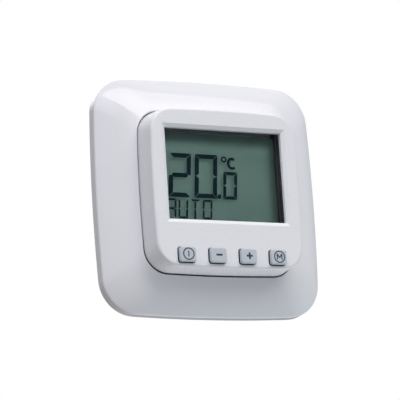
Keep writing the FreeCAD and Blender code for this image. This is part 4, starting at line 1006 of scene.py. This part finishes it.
def makeReflector():
    # the foil covers the whole back of the cell, and its cut edge is just rounded
    v = display
    low, high = (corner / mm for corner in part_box("display_reflector"))
    lowRear, highRear = (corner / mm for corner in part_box("display_rear_glass"))
    wide, tall = (highRear.x - lowRear.x) / 2 - v["foilMargin"], (high.z - low.z) / 2
    centre = ((low.x + high.x) / 2, (low.z + high.z) / 2)
    edge = easedPath([
        (-v["foilInset"], -high.y, 0), (0, -high.y, v["foilRound"]),
        (0, -low.y, v["foilRound"]), (-v["foilInset"], -low.y, 0),
    ], steps=3)
    bm = bmesh.new()
    rings = [addRing(bm, boxOutline(wide + t, tall + t, v["foilCorner"], centre), p) for t, p in edge]
    joinRings(bm, rings, capped=True)
    foil = pearledFoil("pearledReflector", reflectorFoil)
    piece = addPiece("reflectorFoil", bm, foil, "thermostat")
    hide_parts("display_reflector")


makeDisplayCell()
makeReflector()
print("display drawn")

# ---- finishes of the parts that keep their own shape ----


def stripedRubber(name, values):
    # Silicone contact strip: thin grey conducting layers between paler ones, seen as fine stripes.
    # They are drawn coarser than the real tenth of a millimetre, so that they show.
    material, tree = startMaterial(name)
    place = addNode(tree, "ShaderNodeTexCoord", {}).outputs["Object"]
    stripe = addNode(tree, "ShaderNodeTexWave", {
        "wave_type": "BANDS", "bands_direction": "X", "Vector": place,
        "Scale": perMetre(values["stripe"]) / math.tau, "Distortion": 0.3,
    })
    tone = addNode(tree, "ShaderNodeMix", {
        "data_type": "RGBA", 0: stripe.outputs["Fac"], 6: values["colour"], 7: values["secondColour"],
    })
    bump = addNode(tree, "ShaderNodeBump", {
        "Strength": 0.5, "Distance": values["stripeDepth"] * mm, "Height": stripe.outputs["Fac"],
    })
    endMaterial(tree, addNode(tree, "ShaderNodeBsdfPrincipled", {
        "Base Color": tone.outputs[2], "Roughness": 0.7, "Normal": bump.outputs["Normal"],
    }))
    return material


def solderMask(name, values):
    # Glass-epoxy board under green solder mask: lighter where copper runs below, with the weave
    # just showing.
    material, tree = startMaterial(name)
    place = addNode(tree, "ShaderNodeTexCoord", {}).outputs["Object"]
    flat = addNode(tree, "ShaderNodeMapping", {"Vector": place, "Rotation": (math.pi / 2, 0, 0)})
    tracks = addNode(tree, "ShaderNodeTexBrick", {
        "Vector": flat.outputs[0], "Scale": perMetre(values["tracks"]), "Mortar Size": 0.09,
        "Mortar Smooth": 0.1, "Brick Width": 1.6, "Row Height": 0.55,
        "Color1": values["colour"], "Color2": values["secondColour"], "Mortar": values["trackColour"],
    })
    weave = addNode(tree, "ShaderNodeTexChecker", {
        "Vector": place, "Scale": perMetre(values["weave"]), "Color1": "#ffffff", "Color2": "#e6e6e6",
    })
    tone = addNode(tree, "ShaderNodeMix", {
        "data_type": "RGBA", "blend_type": "MULTIPLY", 0: 0.5,
        6: tracks.outputs["Color"], 7: weave.outputs["Color"],
    })
    bump = addNode(tree, "ShaderNodeBump", {
        "Strength": 0.6, "Distance": values["trackDepth"] * mm, "Height": tracks.outputs["Fac"],
    })
    endMaterial(tree, addNode(tree, "ShaderNodeBsdfPrincipled", {
        "Base Color": tone.outputs[2], "Roughness": 0.28, "Normal": bump.outputs["Normal"],
    }))
    return material


def platedMetal(name, values):
    # Plated steel, tin or brass: long marks along the rolling or turning direction, under cloudy
    # plating.
    material, tree = startMaterial(name)
    place = addNode(tree, "ShaderNodeTexCoord", {}).outputs["Object"]
    long = addNode(tree, "ShaderNodeMapping", {"Vector": place, "Scale": values["grainShape"]})
    lines = addNode(tree, "ShaderNodeTexNoise", {
        "Vector": long.outputs[0], "Scale": perMetre(values["grain"]), "Detail": 3.0,
    })
    cloud = addNode(tree, "ShaderNodeTexVoronoi", {
        "feature": "SMOOTH_F1", "Vector": place, "Scale": perMetre(values["spangle"]), "Smoothness": 0.6,
    })
    tone = addNode(tree, "ShaderNodeMix", {
        "data_type": "RGBA", 0: cloud.outputs["Distance"], 6: values["colour"], 7: values["secondColour"],
    })
    gloss = addNode(tree, "ShaderNodeMapRange", {
        "Value": lines.outputs["Fac"], "From Min": 0.3, "From Max": 0.7,
        "To Min": values["roughness"] - values["glossSpread"],
        "To Max": values["roughness"] + values["glossSpread"],
    })
    bump = addNode(tree, "ShaderNodeBump", {
        "Strength": 1.0, "Distance": values["grainDepth"] * mm, "Height": lines.outputs["Fac"],
    })
    endMaterial(tree, addNode(tree, "ShaderNodeBsdfPrincipled", {
        "Base Color": tone.outputs[2], "Metallic": 1.0, "Roughness": gloss.outputs[0],
        "Normal": bump.outputs["Normal"],
    }))
    return material


def glassFilled(name, colour, secondColour, roughness=0.55):
    # Glass-filled polyamide: dull, with short fibres lying just under a grainy skin.
    return mouldedPlastic(name, {
        "colour": colour, "secondColour": secondColour, "roughness": roughness, "glossSpread": 0.08,
        "grain": 0.5, "grainDepth": 0.012, "waves": 5, "waveDepth": 0.01, "drift": 3,
    })


def smoothCase(name, colour, secondColour, roughness=0.3):
    # Potted component case: plain glossy moulding with light sink marks.
    return mouldedPlastic(name, {
        "colour": colour, "secondColour": secondColour, "roughness": roughness,
        "grain": 0.5, "grainDepth": 0.003, "waves": 4, "waveDepth": 0.012, "drift": 5,
    })


contactStrip = {"colour": "#6f7273", "secondColour": "#a3a6a8", "stripe": 0.5, "stripeDepth": 0.01}
boardFinish = {
    "colour": "#0f4a2a", "secondColour": "#11512e", "trackColour": "#1c7040",
    "tracks": 3.2, "trackDepth": 0.03, "weave": 0.6,  # mm
}


def finishParts():
    steel = {"colour": "#b9bcbd", "secondColour": "#a2a6a8", "roughness": 0.42, "glossSpread": 0.05,
             "grain": 0.7, "spangle": 5.0, "grainShape": (0.12, 1.0, 1.0), "grainDepth": 0.0012}
    turned = {"colour": "#c9c7bd", "secondColour": "#b4b1a4", "roughness": 0.3, "glossSpread": 0.08,
              "grain": 0.35, "spangle": 1.5, "grainShape": (1.0, 0.2, 1.0), "grainDepth": 0.004}
    finishes = {
        "clear_pane": clearSheet("polycarbonatePane", {
            "tint": "#fefefe", "ior": 1.5, "haze": 0.05, "rub": 9,
        }),
        "display_glass": cellGlass,
        "contact_rubber": stripedRubber("stripedContactRubber", contactStrip),
        "holder_black": glassFilled("polycarbonateBlack", "#2c2a2f", "#363439", 0.5),
        "switch_black": glassFilled("polyamideBlack", "#151516", "#1b1b1c"),
        "plunger_plastic": smoothCase("acetalBrown", "#7a2f28", "#6f2b25", 0.35),
        "board_green": solderMask("greenSolderMask", boardFinish),
        "chip_epoxy": glassFilled("mouldedEpoxy", "#18191a", "#202122", 0.5),
        "tinned_metal": platedMetal("tinPlate", {**turned, "colour": "#d0cfca", "secondColour": "#bdbcb6"}),
        "sleeve_blue": smoothCase("shrunkPvcSleeve", "#1d3e86", "#234795", 0.22),
        "resistor_ceramic": glassFilled("thickFilmCeramic", "#1c1d20", "#2b2c30", 0.4),
        "sensor_bead": smoothCase("dippedEpoxyBead", "#1f3a22", "#284a2b", 0.2),
        "carrier_grey": glassFilled("polyamideLightGrey", "#b9babb", "#b1b2b4"),
        "bridge_steel": platedMetal("zincPlatedSheet", steel),
        "screw_steel": platedMetal("zincPlatedScrew", turned),
        "housing_grey": glassFilled("polyamideHousingGrey", "#c3c4c4", "#bbbcbd"),
        "relay_case": smoothCase("relayCaseBlack", "#141618", "#1a1c1f", 0.28),
        "film_case": smoothCase("filmCapacitorYellow", "#c9a52a", "#bf9b24", 0.32),
        "varistor_blue": smoothCase("varistorDippedBlue", "#1b4a7c", "#1f5289", 0.3),
        "fuse_brown": smoothCase("fuseCaseBrown", "#4a2a1b", "#53301f", 0.3),
        "terminal_plastic": glassFilled("polyamideDarkGrey", "#2b2d2f", "#33363a", 0.5),
        "clamp_brass": platedMetal("nickelledBrass", {
            **turned, "colour": "#c9b27c", "secondColour": "#b9a26c",
        }),
    }
    slots = {part["node"]: part["material_slot"] for part in frame["record"]["subparts"]}
    for name, part in nodes.items():
        finish = finishes.get(slots[name])
        if finish is None:
            continue
        for slot in part.material_slots:
            slot.material = finish


finishParts()
print("parts finished")

# ---- marks on the back of the housing ----
backMarks = {
    "numberHeight": 2.6,
    "above": 1.9,  # from the terminal block to the feet of the numbers
    "raised": 0.2,
    "sunk": 0.05,
    "terminals": 5,
    "arrow": (5.0, 4.4),
    "arrowCentre": (0.0, 14.0),
    "pinRadius": 2.2,
    "pinLine": 0.25,
    "pinPlaces": ((-15.0, 8.0), (15.0, 8.0), (-15.0, -4.0), (15.0, -4.0)),
}


def makeBackMarks():
    # Terminal numbers, an arrow for the upper side and the ejector rings, all raised and inked dark
    v = backMarks
    low, high = (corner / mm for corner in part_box("terminal_screws"))
    back = -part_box("insert_housing")[1].y / mm
    bore = (high.z - low.z) / 2
    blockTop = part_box("terminal_block")[1].z / mm
    pitch = (high.x - low.x - 2 * bore) / (v["terminals"] - 1)
    for place in range(v["terminals"]):
        x = high.x - bore - place * pitch
        curve = bpy.data.curves.new("terminalNumber", "FONT")
        curve.body = str(place + 1)
        curve.size = v["numberHeight"] * mm / 0.7  # figures are about seven tenths of the letter size
        curve.extrude = v["raised"] / 2 * mm
        curve.resolution_u = 4
        curve.align_x = "CENTER"
        item = bpy.data.objects.new("terminalNumber{}".format(place + 1), curve)
        item.rotation_euler = (math.pi / 2, 0, math.pi)
        item.location = (x * mm, (-back + v["raised"] / 4) * mm, (blockTop + v["above"]) * mm)
        curve.materials.append(printInk)
        bpy.context.scene.collection.objects.link(item)
        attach(item, "thermostat")
    bm = bmesh.new()
    wide, tall = (side / 2 for side in v["arrow"])
    cx, cz = v["arrowCentre"]
    arrow = [(cx - wide, cz - tall), (cx + wide, cz - tall), (cx, cz + tall)]
    addPlate(bm, arrow, back + v["sunk"], back - v["raised"])
    for centre in v["pinPlaces"]:
        addRingPlate(bm, v["pinRadius"], v["pinLine"], centre, back + v["sunk"], back - v["raised"] / 2)
    addPiece("housingMarks", bm, printInk, "thermostat")


makeBackMarks()
print("back marks made")
